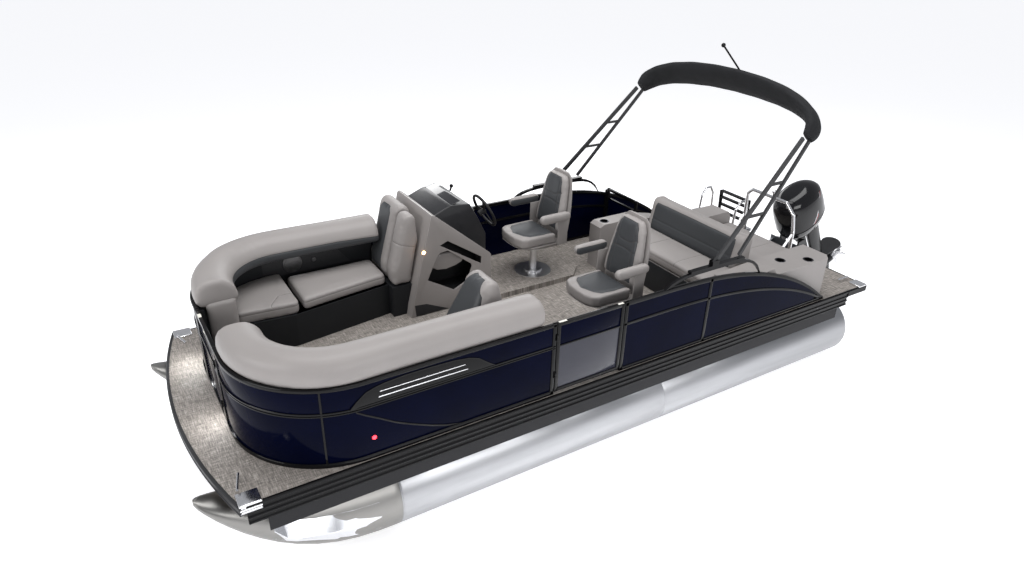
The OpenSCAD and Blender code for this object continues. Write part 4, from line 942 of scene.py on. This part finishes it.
# ---------- bow bench cushions ----------
# Foam pads under grey vinyl: a fixed corner pad at each side of the gate and a longer one on each lid.
# A welted seam runs round each pad, and the corner pads have a wedge sewn in their top.
corner_arc = [(CORNER_X - 712 * math.sin(math.radians(a)), -CORNER_Y - 712 * math.cos(math.radians(a)))
              for a in range(0, 42, 6)]
corner_plan = [(440, -548), (928, -508), (990, -518), (990, -1177)] + corner_arc + [(440, -985)]
lid_plan = [(1013, -524), (1866, -660), (1866, -1077), (1013, -1077)]
for side, name in SIDES:
    corner_pad = plan_form(corner_plan, 1216, 1330, 40, 26)
    lid_pad = plan_form(lid_plan, 1218, 1330, 34, 26)
    if side > 0:
        mirrored(corner_pad), mirrored(lid_pad)

    def wedge(place, normals):
        """The seam of the wedge on top, and the welt low round the edge."""
        across = np.stack([place[:, 0], place[:, 1] * side], 1)
        reach = inside(across, [(1007, 510), (990, 640), (972, 700), (842, 694), (745, 560), (735, 400),
                                (1100, 400)])
        return np.where(normals[:, 2] > .25, reach, 1296 - place[:, 2])

    soften([dict(name=f"{name}_corner_cushion", form=corner_pad, body="hull", finish=plain_vinyl,
                 replaces=("bow_corner_cushions",) if side < 0 else (), seam=wedge),
            dict(name=f"{name}_bench_pad", form=lid_pad, body=f"{name}_bench_lid", finish=plain_vinyl,
                 replaces=(f"{name}_bench_cushion",), seam=lambda place, normals: 1296 - place[:, 2])])

# ---------- chaise backs ----------
# Reclined backs of foam and vinyl over moulded boards, standing at the aft end of the benches.
# They are grey outside with a charcoal insert, and the starboard one has a rolled bolster beside it.


def port_back_insert(place, normals):
    """The charcoal lobe on the face of the port chaise back."""
    lobe = [(-830, 1330), (-850, 1500), (-800, 1700), (-720, 1800), (-640, 1826), (-560, 1800), (-490, 1700),
            (-452, 1530), (-440, 1330)]
    return np.where(normals[:, 0] < -.1, inside(place[:, [1, 2]], lobe), -FAR)


port_back = side_form([(1900, 1220), (1900, 1362), (2112, 1776), (2180, 1818), (2252, 1800), (2380, 1222)],
                      -877, -418)
for v in port_back.verts:
    height = (v.co.z - 1.22) / .6
    v.co.y = -.6475 + (v.co.y + .6475) * (1 - .34 * max(0, height) ** 3)
eased(port_back, port_back.edges[:], 42, 5)
star_back = side_form([(1898, 1222), (1898, 1376), (2043, 1918), (2086, 1954), (2150, 1940), (2180, 1900),
                       (2182, 1664), (2082, 1222)], 752, 1158)
eased(star_back, star_back.edges[:], 34, 5)
bolster = side_form([(1898, 1222), (1890, 1376), (1990, 1760), (2036, 1905), (2090, 1925), (2150, 1900),
                     (2180, 1664), (2082, 1222)], 568, 742)
eased(bolster, bolster.edges[:], 46, 5)


def star_insert(place, normals):
    """The charcoal panel on the face of the starboard chaise back."""
    panel = [(868, 1300), (868, 1600), (862, 1850), (900, 1905), (1050, 1905), (1100, 1850), (1112, 1600),
             (1120, 1300)]
    return np.where(normals[:, 0] < -.1, inside(place[:, [1, 2]], panel), -FAR)


soften([dict(name="port_chaise_pad", form=port_back, body="hull", finish=two_tone,
             replaces=("port_chaise_back",), inset=port_back_insert),
        dict(name="starboard_chaise_pad", form=star_back, body="hull", finish=two_tone,
             replaces=("starboard_chaise_back",), inset=star_insert),
        dict(name="starboard_chaise_bolster", form=bolster, body="hull", finish=plain_vinyl,
             seam=lambda p, n: (p[:, 2] - 1640) + (p[:, 0] - 1980) * .3)])

# ---------- chairs ----------
# Two captain's chairs of foam and grey vinyl over moulded shells, with charcoal seat and back panels.
# Each turns on a bright alloy pedestal that is bolted through the deck, and has two padded arm rests.
SWIVEL = 1245


def loft(rings):
    """A closed form through rings of points, first to last."""
    bm = bmesh.new()
    loop = None
    for points in rings:
        ring = [bm.verts.new(point) for point in points]
        edges = [bm.edges.new(pair) for pair in zip(ring, ring[1:] + ring[:1])]
        if loop:
            bmesh.ops.bridge_loops(bm, edges=loop + edges)
        else:
            bm.faces.new(ring)
        loop = edges
    bm.faces.new(ring)
    return bm


seat_outline = [(-332, 0), (-322, -120), (-290, -205), (-230, -240), (0, -244), (132, -244), (132, 244),
                (0, 244), (-230, 240), (-290, 205), (-322, 120)]
for chair, cx, cy in (("helm_chair", 3570, 700), ("port_chair", 3460, -650)):
    def seat_insert(place, normals):
        """The charcoal panel on top of the seat."""
        x, y = place[:, 0] - cx, place[:, 1] - cy
        panel = [(-262, 0), (-215, -130), (-170, -178), (-60, -190), (160, -190), (160, 190), (-60, 190),
                 (-170, 178), (-215, 130)]
        return np.where(normals[:, 2] > .2, inside(np.stack([x, y], 1), panel), -FAR)

    def back_insert(place, normals):
        """The charcoal panel down the face of the back."""
        y, z = place[:, 1] - cy, place[:, 2]
        panel = [(-168, 1440), (-172, 1600), (-150, 1840), (-128, 1960), (-96, 2004), (96, 2004), (128, 1960),
                 (150, 1840), (172, 1600), (168, 1440)]
        return np.where(normals[:, 0] < .1, inside(np.stack([y, z], 1), panel), -FAR)

    def head_seam(place, normals):
        """The seams round the head rest and down both sides of the panel."""
        y, z = np.abs(place[:, 1] - cy), place[:, 2]
        curve = z - (1812 + np.clip(y - 60, 0, 80) * .45)
        plain = z - (1745 - y * .08)
        band = both(curve, plain)
        sides = y - (118 + (1640 - z) * .03)
        return np.where((normals[:, 0] < .1) & (y < 160) & (z < 1990), both(band, sides), -FAR)

    seat = plan_form([(cx + x, cy + y) for x, y in seat_outline], SWIVEL + 98, SWIVEL + 196, 10, 28)
    levels = [(1452, 146, 214, 232), (1560, 166, 236, 238), (1700, 191, 264, 226), (1830, 214, 288, 204),
              (1930, 231, 305, 184),
              (1990, 242, 314, 158), (2022, 250, 316, 124)]
    back = loft([[at(cx + x, cy + y, z) for x, y in
                [(front + 26, -half), (front + 6, -half + 22), (front, -half + 60), (front + 4, 0),
                 (front, half - 60),
                 (front + 6, half - 22), (front + 26, half), (rear, half - 4), (rear + 12, half - 50),
                 (rear + 14, 0),
                 (rear + 12, -half + 50), (rear, -half + 4)]] for z, front, rear, half in levels])
    arms = []
    for s in (-1, 1):
        low, high = sorted((cy + s * 268, cy + s * 334))
        arm = side_form([(cx - 124, 1632), (cx - 130, 1676), (cx - 104, 1700), (cx + 20, 1706),
                         (cx + 200, 1704), (cx + 236, 1684), (cx + 236, 1632),
                         (cx + 190, 1610), (cx - 90, 1608)], low, high)
        eased(arm, arm.edges[:], 22, 4)
        arms.append(dict(name=f"{chair}_{'port' if s < 0 else 'starboard'}_arm", form=arm, body=chair,
                         finish=two_tone, swell=.006,
                         voxel=.010, groove=1.5,
                         inset=lambda p, n, s=s: np.where(-s * n[:, 1] > .35,
                                                          np.minimum(1684 - p[:, 2], p[:, 2] - 1600), -FAR)))
    soften([dict(name=f"{chair}_seat", form=seat, body=chair, finish=two_tone,
                 replaces=(f"{chair}_cushions",), inset=seat_insert,
                 voxel=.012, channels=[(lambda p, n, f=seat_insert: f(p, n) - 9, 5, 14)]),
            dict(name=f"{chair}_back", form=back, body=chair, finish=two_tone, inset=back_insert,
                 seam=head_seam, voxel=.012)] + arms)

    # moulded shell: pan under the seat, curved board behind the back
    levels = [(1256, -60, 150, 140), (1285, -130, 200, 200), (1316, -285, 235, 236), (1340, -322, 238, 250)]
    pan = loft([[at(cx + x, cy + y, z) for x, y in
                [(front, 0), (front + 10, -half * .5), (front + 60, -half * .85), (front + 150, -half),
                 (rear - 30, -half), (rear, -half + 30),
                 (rear, 0), (rear, half - 30), (rear - 30, half), (front + 150, half),
                 (front + 60, half * .85), (front + 10, half * .5)]]
                for z, front, rear, half in levels])
    levels = [(1336, 200, 262, 250), (1450, 222, 282, 248), (1560, 246, 300, 246), (1700, 274, 322, 234),
              (1830, 298, 340, 212),
                                 (1930, 314, 352, 190), (1996, 322, 358, 166), (2036, 326, 352, 122)]
    board = loft([[at(cx + x, cy + y, z) for x, y in
                [(front, -half), (front, 0), (front, half), (rear - 22, half), (rear - 6, half - 22),
                 (rear, half - 70), (rear + 2, 0),
                 (rear, -half + 70), (rear - 6, -half + 22), (rear - 22, -half)]]
                  for z, front, rear, half in levels])
    brackets = bevelled_bars([((cx + 120, cy - 276, 1330), (cx + 240, cy - 262, 1622)),
                              ((cx + 120, cy + 262, 1330), (cx + 240, cy + 276, 1622))], 5)
    finish_piece(f"{chair}_moulding", joined(pan, board, brackets), mould_grey, chair,
                 (f"{chair}_shell",), smooth=50)
chair_chrome = new_finish("pedestal_alloy", (.80, .80, .81), .34, metallic=1, vary=.05, scale=12, grain=.1,
                          grain_scale=300)
dress("helm_chair_pedestal", chair_chrome)
dress("port_chair_pedestal", chair_chrome)

# ---------- rear lounge ----------
# A three-place bench across the stern, its foam cushion on a hinged lid over a moulded box.
# The back is charcoal below a grey top roll, between grey end caps.
lounge_seat = block((4460, -966, 1217), (4912, 446, 1330), 26)
lounge_back_form = side_form([(4934, 1222), (4934, 1352), (4986, 1604), (5020, 1640), (5124, 1636),
                              (5150, 1606), (5142, 1222)], -882, 450)
eased(lounge_back_form, lounge_back_form.edges[:], 26, 4)


def lounge_cover(place, normals):
    """The charcoal face below the top roll, between the two end caps."""
    panel = inside(place[:, [1, 2]], [(-800, 1150), (-800, 1560), (-790, 1596), (355, 1596), (368, 1560),
                                      (368, 1150)])
    return np.where(normals[:, 0] < .35, panel, -FAR)


soften([dict(name="lounge_pad", form=lounge_seat, body="lounge_lid", finish=plain_vinyl,
             replaces=("lounge_cushion",),
             seam=lambda p, n: both(np.where(n[:, 2] > .25, FAR, 1296 - p[:, 2]),
                                    np.where(n[:, 2] > .25, both(p[:, 1] + 500, p[:, 1] + 30), FAR)),
             channels=[(lambda p, n: np.where(n[:, 2] > .4, p[:, 0] - 4860, FAR), 4, 10)]),
        dict(name="lounge_back_pad", form=lounge_back_form, body="hull", finish=two_tone,
             replaces=("lounge_back",), inset=lounge_cover,
             channels=[(lambda p, n: np.where((n[:, 0] < -.2) & (p[:, 1] > -790) & (p[:, 1] < 358),
                                              p[:, 2] - 1420, FAR), 5, 9)])])

front_board = bevelled_bars([((4464, -972, 906), (4470, 452, 1212))], 2)
finish_piece("lounge_front_board", front_board, base_grain, "hull", smooth=40)

# ---------- stern lounger ----------
# A moulded box faced in grey vinyl, screwed to the deck, with a foam pad laid in its recess.
# Pressed steel cup holders drop into holes in its port corner, and one more in the lounge box.
dress("stern_lounger", mould_grey)
soften([dict(name="stern_lounger_cushion", form=block((5410, -822, 1142), (6032, 212, 1226), 24), body="hull",
             finish=plain_vinyl,
             replaces=("stern_lounger_pad",), seam=lambda p,
             n: np.where(n[:, 2] > .3, both(p[:, 1] + 480, p[:, 1] + 130), FAR))])
cup_steel = new_finish("cup_steel", (.10, .10, .11), .2, metallic=1, vary=.05, scale=20)
for index, (x, y, top) in enumerate(((5470, -990, 1340), (5740, -1120, 1340), (4400, 552.5, 1420))):
    cup = bmesh.new()
    profile = [(0, top - 70), (40, top - 70), (41, top - 66), (42, top + 1), (50, top + 3), (54, top + 2),
               (55, top)]
    line = [cup.verts.new(at(x + r, y, z)) for r, z in profile]
    edges = [cup.edges.new(pair) for pair in zip(line, line[1:])]
    bmesh.ops.spin(cup, geom=line + edges, cent=at(x, y, 0), axis=(0, 0, 1), angle=2 * math.pi, steps=40,
                   use_merge=True, use_duplicate=False)
    finish_piece(f"cup_holder_{index + 1}", cup, cup_steel, "hull", smooth=40)

# ---------- helm console ----------
# A gloss moulded pod bolted to the deck, with two openings in its port face that show a dark inside, painted as
# shade by a near-black sheet and shelf behind them.
# A black board for a speaker and a small warm courtesy lamp are let into that face.
shell_gloss = new_finish("console_gelcoat", (.27, .25, .24), .24, coat=.35, vary=.03, scale=3, specular=.4)
dash_dark = new_finish("dash_black", (.018, .018, .020), .32, coat=.2, vary=.1, scale=12, grain=.3,
                       grain_scale=380)
glow_warm = new_finish("courtesy_light", (1, .55, .22), .3, vary=.01, glow=14)
# Near-black finish: painted shade behind the console openings, and the outboard powerhead's own black.
shade_and_engine_black = new_finish("cavity_shade_and_engine_black", (.012, .012, .013), .6, vary=.1, scale=10)
CONSOLE_Y0, CONSOLE_Y1, SKIN = 450, 1225, 14


def opening_frame(outline, holes, y0, y1, edge):
    """A flat moulding with openings, filled between its outlines and then given thickness."""
    bm = bmesh.new()
    edges = []
    for loop in (outline, *holes):
        ring = [bm.verts.new(at(x, y0, z)) for x, z in loop]
        edges += [bm.edges.new(pair) for pair in zip(ring, ring[1:] + ring[:1])]
    filled = bmesh.ops.triangle_fill(bm, use_beauty=True, use_dissolve=True, edges=edges)
    faces = [g for g in filled["geom"] if isinstance(g, bmesh.types.BMFace)]
    carried(bm, faces, (0, y1 - y0, 0))
    bmesh.ops.recalc_face_normals(bm, faces=bm.faces)
    rims = [e for e in bm.edges if e.calc_face_angle(0) > 1.2]
    return eased(bm, rims, edge, 3)


side_line = [(2015, 900), (2030, 1000), (2250, 1908), (2262, 1925), (2284, 1922), (2882, 1418), (2900, 1392),
             (2900, 900)]
hatch_hole = [(2338, 1604), (2420, 1636), (2790, 1390), (2786, 1316)]
shelf_hole = [(2200, 1268), (2304, 1496), (2345, 1530), (2420, 1536), (2676, 1338), (2680, 1310),
              (2634, 1170), (2480, 1098)]
port_face = opening_frame(side_line, [hatch_hole, shelf_hole], CONSOLE_Y0, CONSOLE_Y0 + SKIN, 4)
star_face = opening_frame(side_line, [], CONSOLE_Y1 - SKIN, CONSOLE_Y1, 4)
front_skin = side_form(side_line + [(2886, 900), (2886, 1388), (2870, 1410), (2280, 1904), (2264, 1906),
                                    (2044, 998), (2030, 900)], CONSOLE_Y0 + 6, CONSOLE_Y1 - 6, 0)
finish_piece("console_moulding", joined(port_face, star_face, front_skin), shell_gloss, "hull",
             ("helm_console",), smooth=40)
# A near-black back sheet and shelf behind the openings: painted shade for the console's dark inside.
cavity = joined(side_form([(2060, 905), (2240, 1780), (2300, 1840), (2860, 1380), (2860, 905)],
                          CONSOLE_Y0 + 260, CONSOLE_Y0 + 268, 1),
                bevelled_bars([((2180, CONSOLE_Y0 + SKIN, 1086), (2700, CONSOLE_Y0 + 262, 1094))], 2))
finish_piece("console_shade_sheet_and_shelf", cavity, shade_and_engine_black, "hull", smooth=40)
lobe = side_form([(2231, 1428), (2270, 1362), (2330, 1322), (2429, 1308), (2530, 1326), (2600, 1352),
                  (2621, 1380), (2604, 1428), (2563, 1452),
                  (2480, 1478), (2380, 1484), (2290, 1468)], CONSOLE_Y0 + 60, CONSOLE_Y0 + 110, 14, 4)
finish_piece("console_glove_pod", lobe, shell_gloss, "hull", smooth=50)
kick_line = [(2053, 1030), (2178, 1018), (2414, 908), (2135, 904), (2065, 908)]
kick = opening_frame(kick_line, [], CONSOLE_Y0 - 1, CONSOLE_Y0 + 3, 1)
finish_piece("console_speaker_board", kick, speaker_black, "hull", smooth=40)
FACING_OUT = Matrix.Rotation(math.pi / 2, 3, "X")
lamp = bmesh.new()
turned_disc(lamp, 18, 12, 8, at(2167, CONSOLE_Y0 - 3, 1570), FACING_OUT, 24)
finish_piece("courtesy_lamp", lamp, glow_warm, "hull", smooth=40)

# ---------- dash, screen, wheel and throttle ----------
# A dark moulded hood carries four gauges and a row of switches, under a low screen of smoked plastic.
# The wheel has three spokes and a padded rim on a tilted column, and the throttle is beside it.
hood = side_form([(2296, 1866), (2318, 1890), (2476, 1954), (2500, 1958), (2688, 1940), (2706, 1930),
                  (2790, 1780), (2878, 1600), (2878, 1392)], 522, 1128)
eased(hood, hood.edges[:], 12, 3)
finish_piece("dash_hood", hood, dash_dark, "hull", smooth=40)
rib = [(2330, 1884), (2344, 1892), (2344, 1886), (2330, 1878)]
ribs = joined(*[side_form([(x + 26 * k, z + 9.5 * k) for x, z in rib], 560, 1096, 1) for k in range(6)])
finish_piece("dash_ribs", ribs, gloss_black, "hull", smooth=40)
screen_gloss = new_finish("smoked_screen", (.010, .010, .012), .08, coat=.6, vary=.05, specular=.5)
screen = side_form([(2324, 1876), (2442, 1938), (2596, 1982), (2604, 1984), (2606, 1979), (2450, 1930),
                    (2330, 1868)], 542, 1108, 1.5)
finish_piece("helm_screen", screen, screen_gloss, "hull", ("helm_windscreen",), smooth=40)
gauge_metal = new_finish("gauge_rim", (.7, .7, .72), .2, metallic=1, vary=.05, scale=30)
gauge_glass = new_finish("gauge_face", (.03, .035, .045), .1, coat=.8, vary=.3, scale=40, specular=.5)
dash_turn = Matrix.Rotation(math.radians(63), 3, "Y")
rims, glasses = bmesh.new(), bmesh.new()
for y, r in ((600, 46), (720, 40), (820, 40), (1020, 60)):
    for target, outer, deep, lift in ((rims, r, 12, 0), (glasses, r * .84, 14, 2)):
        turned_disc(target, outer, outer * .96, deep, at(2752 + lift, y, 1862 + lift * .5), dash_turn)
finish_piece("gauge_rims", rims, gauge_metal, "hull", smooth=40, mend=False)
finish_piece("gauge_faces", glasses, gauge_glass, "hull", smooth=40, mend=False)
switches = bevelled_bars([((2822, 600 + 44 * k, 1690), (2846, 628 + 44 * k, 1712)) for k in range(8)], 2)
finish_piece("dash_switches", switches, gloss_black, "hull", smooth=40, mend=False)

rubber = new_finish("wheel_rubber", (.012, .012, .013), .5, vary=.1, scale=20, grain=.4, grain_scale=500)
RIM_R, GRIP_R = .190, .014


def on_column(bm):
    """A piece made flat round the origin, set on the tilted steering column."""
    bmesh.ops.rotate(bm, verts=bm.verts, matrix=Matrix.Rotation(math.radians(65), 3, "Y"))
    bmesh.ops.translate(bm, verts=bm.verts, vec=at(2990, 750, 1740))
    return bm


wheel = bmesh.new()
section = [wheel.verts.new((RIM_R - GRIP_R + GRIP_R * math.cos(a), 0, GRIP_R * math.sin(a)))
           for a in [2 * math.pi * k / 16 for k in range(16)]]
edges = [wheel.edges.new(pair) for pair in zip(section, section[1:] + section[:1])]
bmesh.ops.spin(wheel, geom=section + edges, cent=(0, 0, 0), axis=(0, 0, 1), angle=2 * math.pi, steps=72,
               use_merge=True, use_duplicate=False)
for a in (90, 210, 330):
    spoke = bmesh.ops.create_cube(wheel, size=1)["verts"]
    for v in spoke:
        reach = v.co.x + .5
        v.co = Vector((.020 + reach * .156, v.co.y * (.030 - .010 * reach), -.0005 + v.co.z * .009 - .004))
    bmesh.ops.rotate(wheel, verts=spoke, matrix=Matrix.Rotation(math.radians(a), 3, "Z"))
turned_disc(wheel, 32, 26, 78, (0, 0, -.031))
finish_piece("helm_wheel", on_column(wheel), rubber, "steering_wheel", ("steering_wheel",),
             smooth=35)
dress("throttle_control", gloss_black)
wheel_cap = bmesh.new()
turned_disc(wheel_cap, 18, 14, 3, (0, 0, .0075), segments=32)
finish_piece("wheel_badge_blank", on_column(wheel_cap), gauge_metal, "steering_wheel", smooth=40)

# ---------- canopy ----------
# A folded canvas top packed in its woven boot, over a bow of square aluminium tube coated grey.
# Its legs turn on clamps at two black arched rails, which are bolted over the aft fence.
canopy_paint = new_finish("canopy_grey", (.022, .0225, .024), .36, coat=.1, specular=.25, vary=.08, scale=6,
                          grain=.1, grain_scale=300)
dress("canopy_frame", canopy_paint)
dress("canopy_rails", gloss_black)
LEAN, LEG, PIVOT, TOP_Y, RISE = math.radians(46), 1400, (4200, 0, 1710), 1150, 370
LEG_END = (PIVOT[0] + math.sin(LEAN) * LEG + 60, PIVOT[2] + math.cos(LEAN) * LEG)


canvas = new_finish("boot_canvas", (.018, .0185, .020), .85, vary=.12, scale=9, grain=.8, grain_scale=900,
                    specular=.15)


def boot_ring(t, sides=40):
    """The boot's section, a share t of the way from the port leg to the starboard one, with shallow folds."""
    lift = max(0, math.sin(math.pi * t)) ** .8
    x = LEG_END[0] + math.sin(LEAN) * RISE * lift * 1.1
    y = -TOP_Y * math.cos(math.pi * t)
    z = LEG_END[1] + math.cos(LEAN) * RISE * lift
    end = min(1, min(t, 1 - t) * 22)
    wide, thick = (96 + 80 * lift) * (.80 + .20 * end ** .5), (54 + 16 * lift) * (.72 + .28 * end ** .5)
    slope = math.radians((90 - 90 * lift) * (1 if t < .5 else -1))
    ring = []
    for a in [2 * math.pi * k / sides for k in range(sides)]:
        waves = ((.018, 5 * a + 9 * t), (.012, 11 * a - 23 * t), (.010, 70 * t + 2 * a))
        fold = 1 + sum(deep * math.sin(phase) for deep, phase in waves)
        u = wide * math.cos(a) * fold * (1 - .06 * abs(math.sin(a)) ** 8)
        v = thick * math.sin(a) * fold
        ring.append(at(x + math.cos(LEAN) * u + math.sin(LEAN) * v * math.cos(slope), y - math.sin(slope) * v,
                       z - math.sin(LEAN) * u + math.cos(LEAN) * v * math.cos(slope)))
    return ring


BOOT_STEPS = 88
boot = loft([boot_ring(i / BOOT_STEPS) for i in range(BOOT_STEPS + 1)])
boot_piece = finish_piece("canopy_boot_cover", boot, canvas, "canopy", ("canopy_boot",),
                          smooth=60)
dress("stern_light_pole", gloss_black)

# ---------- ladder, grab loops and tow bar ----------
# Bent and polished stainless tube for the grab loops and the tow bar, bolted to the stern deck.
# The folding ladder is black, with flat rungs, and turns in its own brackets.
chrome = new_finish("bright_tube", (.82, .82, .83), .10, metallic=1, vary=.03, scale=10)
dress("ladder_rails", chrome)
dress("tow_bar", chrome)
dress("boarding_ladder", gloss_black)

# ---------- outboard ----------
# A big outboard clamped to the transom and tilted up on its bracket, with a steel propeller.
# The cowl is moulded in gloss black with two curved stripes a side, and the cast leg is satin black.
motor_gloss = new_finish("motor_gloss_black", (.004, .004, .005), .12, coat=.25, vary=.1, scale=5,
                         specular=.3)
motor_satin = new_finish("motor_satin_black", (.010, .010, .011), .34, coat=.2, vary=.1, scale=5, specular=.4)
stripe_silver = new_finish("stripe_silver", (.62, .62, .64), .28, metallic=.6, vary=.03)
stripe_red = new_finish("stripe_red", (.42, .012, .016), .28, coat=.5, vary=.03)
steel = new_finish("propeller_steel", (.55, .55, .56), .2, metallic=1, vary=.06, scale=12)
dress("motor_leg", motor_satin)
dress("motor_bracket", motor_satin)
dress("motor_swivel", motor_satin)
dress("propeller", steel)
dress("powerhead", shade_and_engine_black)
TILT = math.radians(30)


def outboard(x, y, z):
    """A point in the upright outboard's own frame, tilted to its place."""
    return at(7030 + x * math.cos(TILT) - z * math.sin(TILT), y,
              880 + z * math.cos(TILT) + x * math.sin(TILT))


cowl_rows = [(102, -124, 436, 184), (112, -134, 446, 194), (160, -156, 480, 220), (222, -168, 508, 238),
             (228, -160, 500, 232), (236, -168, 508, 238),
             (310, -169, 509, 239), (400, -168, 508, 238), (480, -160, 500, 231), (540, -150, 488, 224),
             (590, -118, 452, 204), (630, -78, 404, 178),
             (658, -40, 352, 148), (672, 0, 306, 110), (675, 60, 250, 60)]


def cowl_ring(z, front, rear, wide, sides=64):
    """One level of the cowl, squarer than an ellipse and narrower aft."""
    ring = []
    for a in [2 * math.pi * k / sides for k in range(sides)]:
        c, s = math.cos(a), math.sin(a)
        c2, s2 = math.copysign(abs(c) ** .92, c), math.copysign(abs(s) ** .92, s)
        ring.append(outboard((front + rear) / 2 + (rear - front) / 2 * c2, wide * s2 * (1 - .12 * c) * .97,
                             z))
    return ring


cowl = loft([cowl_ring(*row) for row in cowl_rows])
finish_piece("outboard_cowl", cowl, motor_gloss, "outboard", ("motor_cowl",), smooth=30)


def cowl_side(x, z):
    """How far the cowl's side stands from its middle line at a place along it and a level."""
    levels = zip(cowl_rows, cowl_rows[1:])
    wide = next(w0 + (w1 - w0) * (z - z0) / (z1 - z0) for (z0, _, _, w0),
                (z1, _, _, w1) in levels if z0 <= z <= z1)
    share = (x - 170) / 339
    return wide * .97 * (1 - .12 * share) * math.sqrt(max(0, 1 - share ** 2)) ** .92


def cowl_stripe(side, shift, wide, finish, name):
    """A curved band that lies just proud of the cowl's side."""
    bm = bmesh.new()
    rows = []
    for k in range(25):
        t = k / 24
        x, z = 110 + 250 * t + shift, 250 + 300 * t ** 1.5 - shift * .3
        w = wide * math.sin(math.pi * min(1, .12 + .88 * t)) + 2
        rows.append([bm.verts.new(outboard(x + dx, side * (cowl_side(x + dx, z) + lift), z - dx * .5))
                     for dx, lift in ((-w / 2, 1.5), (-w / 2, -6), (w / 2, -6), (w / 2, 1.5))])
    for a, b in zip(rows, rows[1:]):
        for k in range(4):
            bm.faces.new([a[k], a[(k + 1) % 4], b[(k + 1) % 4], b[k]])
    bm.faces.new(rows[0])
    bm.faces.new(rows[-1])
    finish_piece(name, bm, finish, "outboard", smooth=40)


for side, name in SIDES:
    cowl_stripe(side, 0, 15, stripe_silver, f"{name}_cowl_silver_stripe")
    cowl_stripe(side, 22, 8, stripe_red, f"{name}_cowl_red_stripe")

# ---------- lamps and small fittings ----------
# A red side lamp on the port bow sheet and a green one to starboard, each a small moulded lens.
# Blank paper labels are stuck to the rails of the side gate and the bow gate.
red_glow = new_finish("port_side_lamp", (1, .02, .03), .3, vary=.01, glow=9)
green_glow = new_finish("starboard_side_lamp", (.02, .8, .15), .3, vary=.01, glow=3)
for side, name, glow in ((-1, "port", red_glow), (1, "starboard", green_glow)):
    lamp = bmesh.new()
    turned_disc(lamp, 20, 13, 10, at(955, -1258, 1078), FACING_OUT, 24)
    if side > 0:
        mirrored(lamp)
    finish_piece(f"{name}_side_lamp", lamp, glow, "hull", smooth=40)
label_white = new_finish("blank_label", (.75, .73, .66), .5, vary=.02)
labels = bevelled_bars([((2535, -1262, 1579.5), (2610, -1240, 1580.8)),
                        ((3130, -1262, 1579.5), (3185, -1240, 1580.8))], .4, 1)
finish_piece("side_gate_labels", labels, label_white, "side_gate", smooth=40, mend=False)
tabs = bevelled_bars([((112, 180, 1579.5), (138, 240, 1580.8)), ((108.6, -60, 1556), (110.4, 0, 1574))], .4,
                     1)
finish_piece("bow_gate_labels", tabs, label_white, "bow_gate", smooth=40, mend=False)
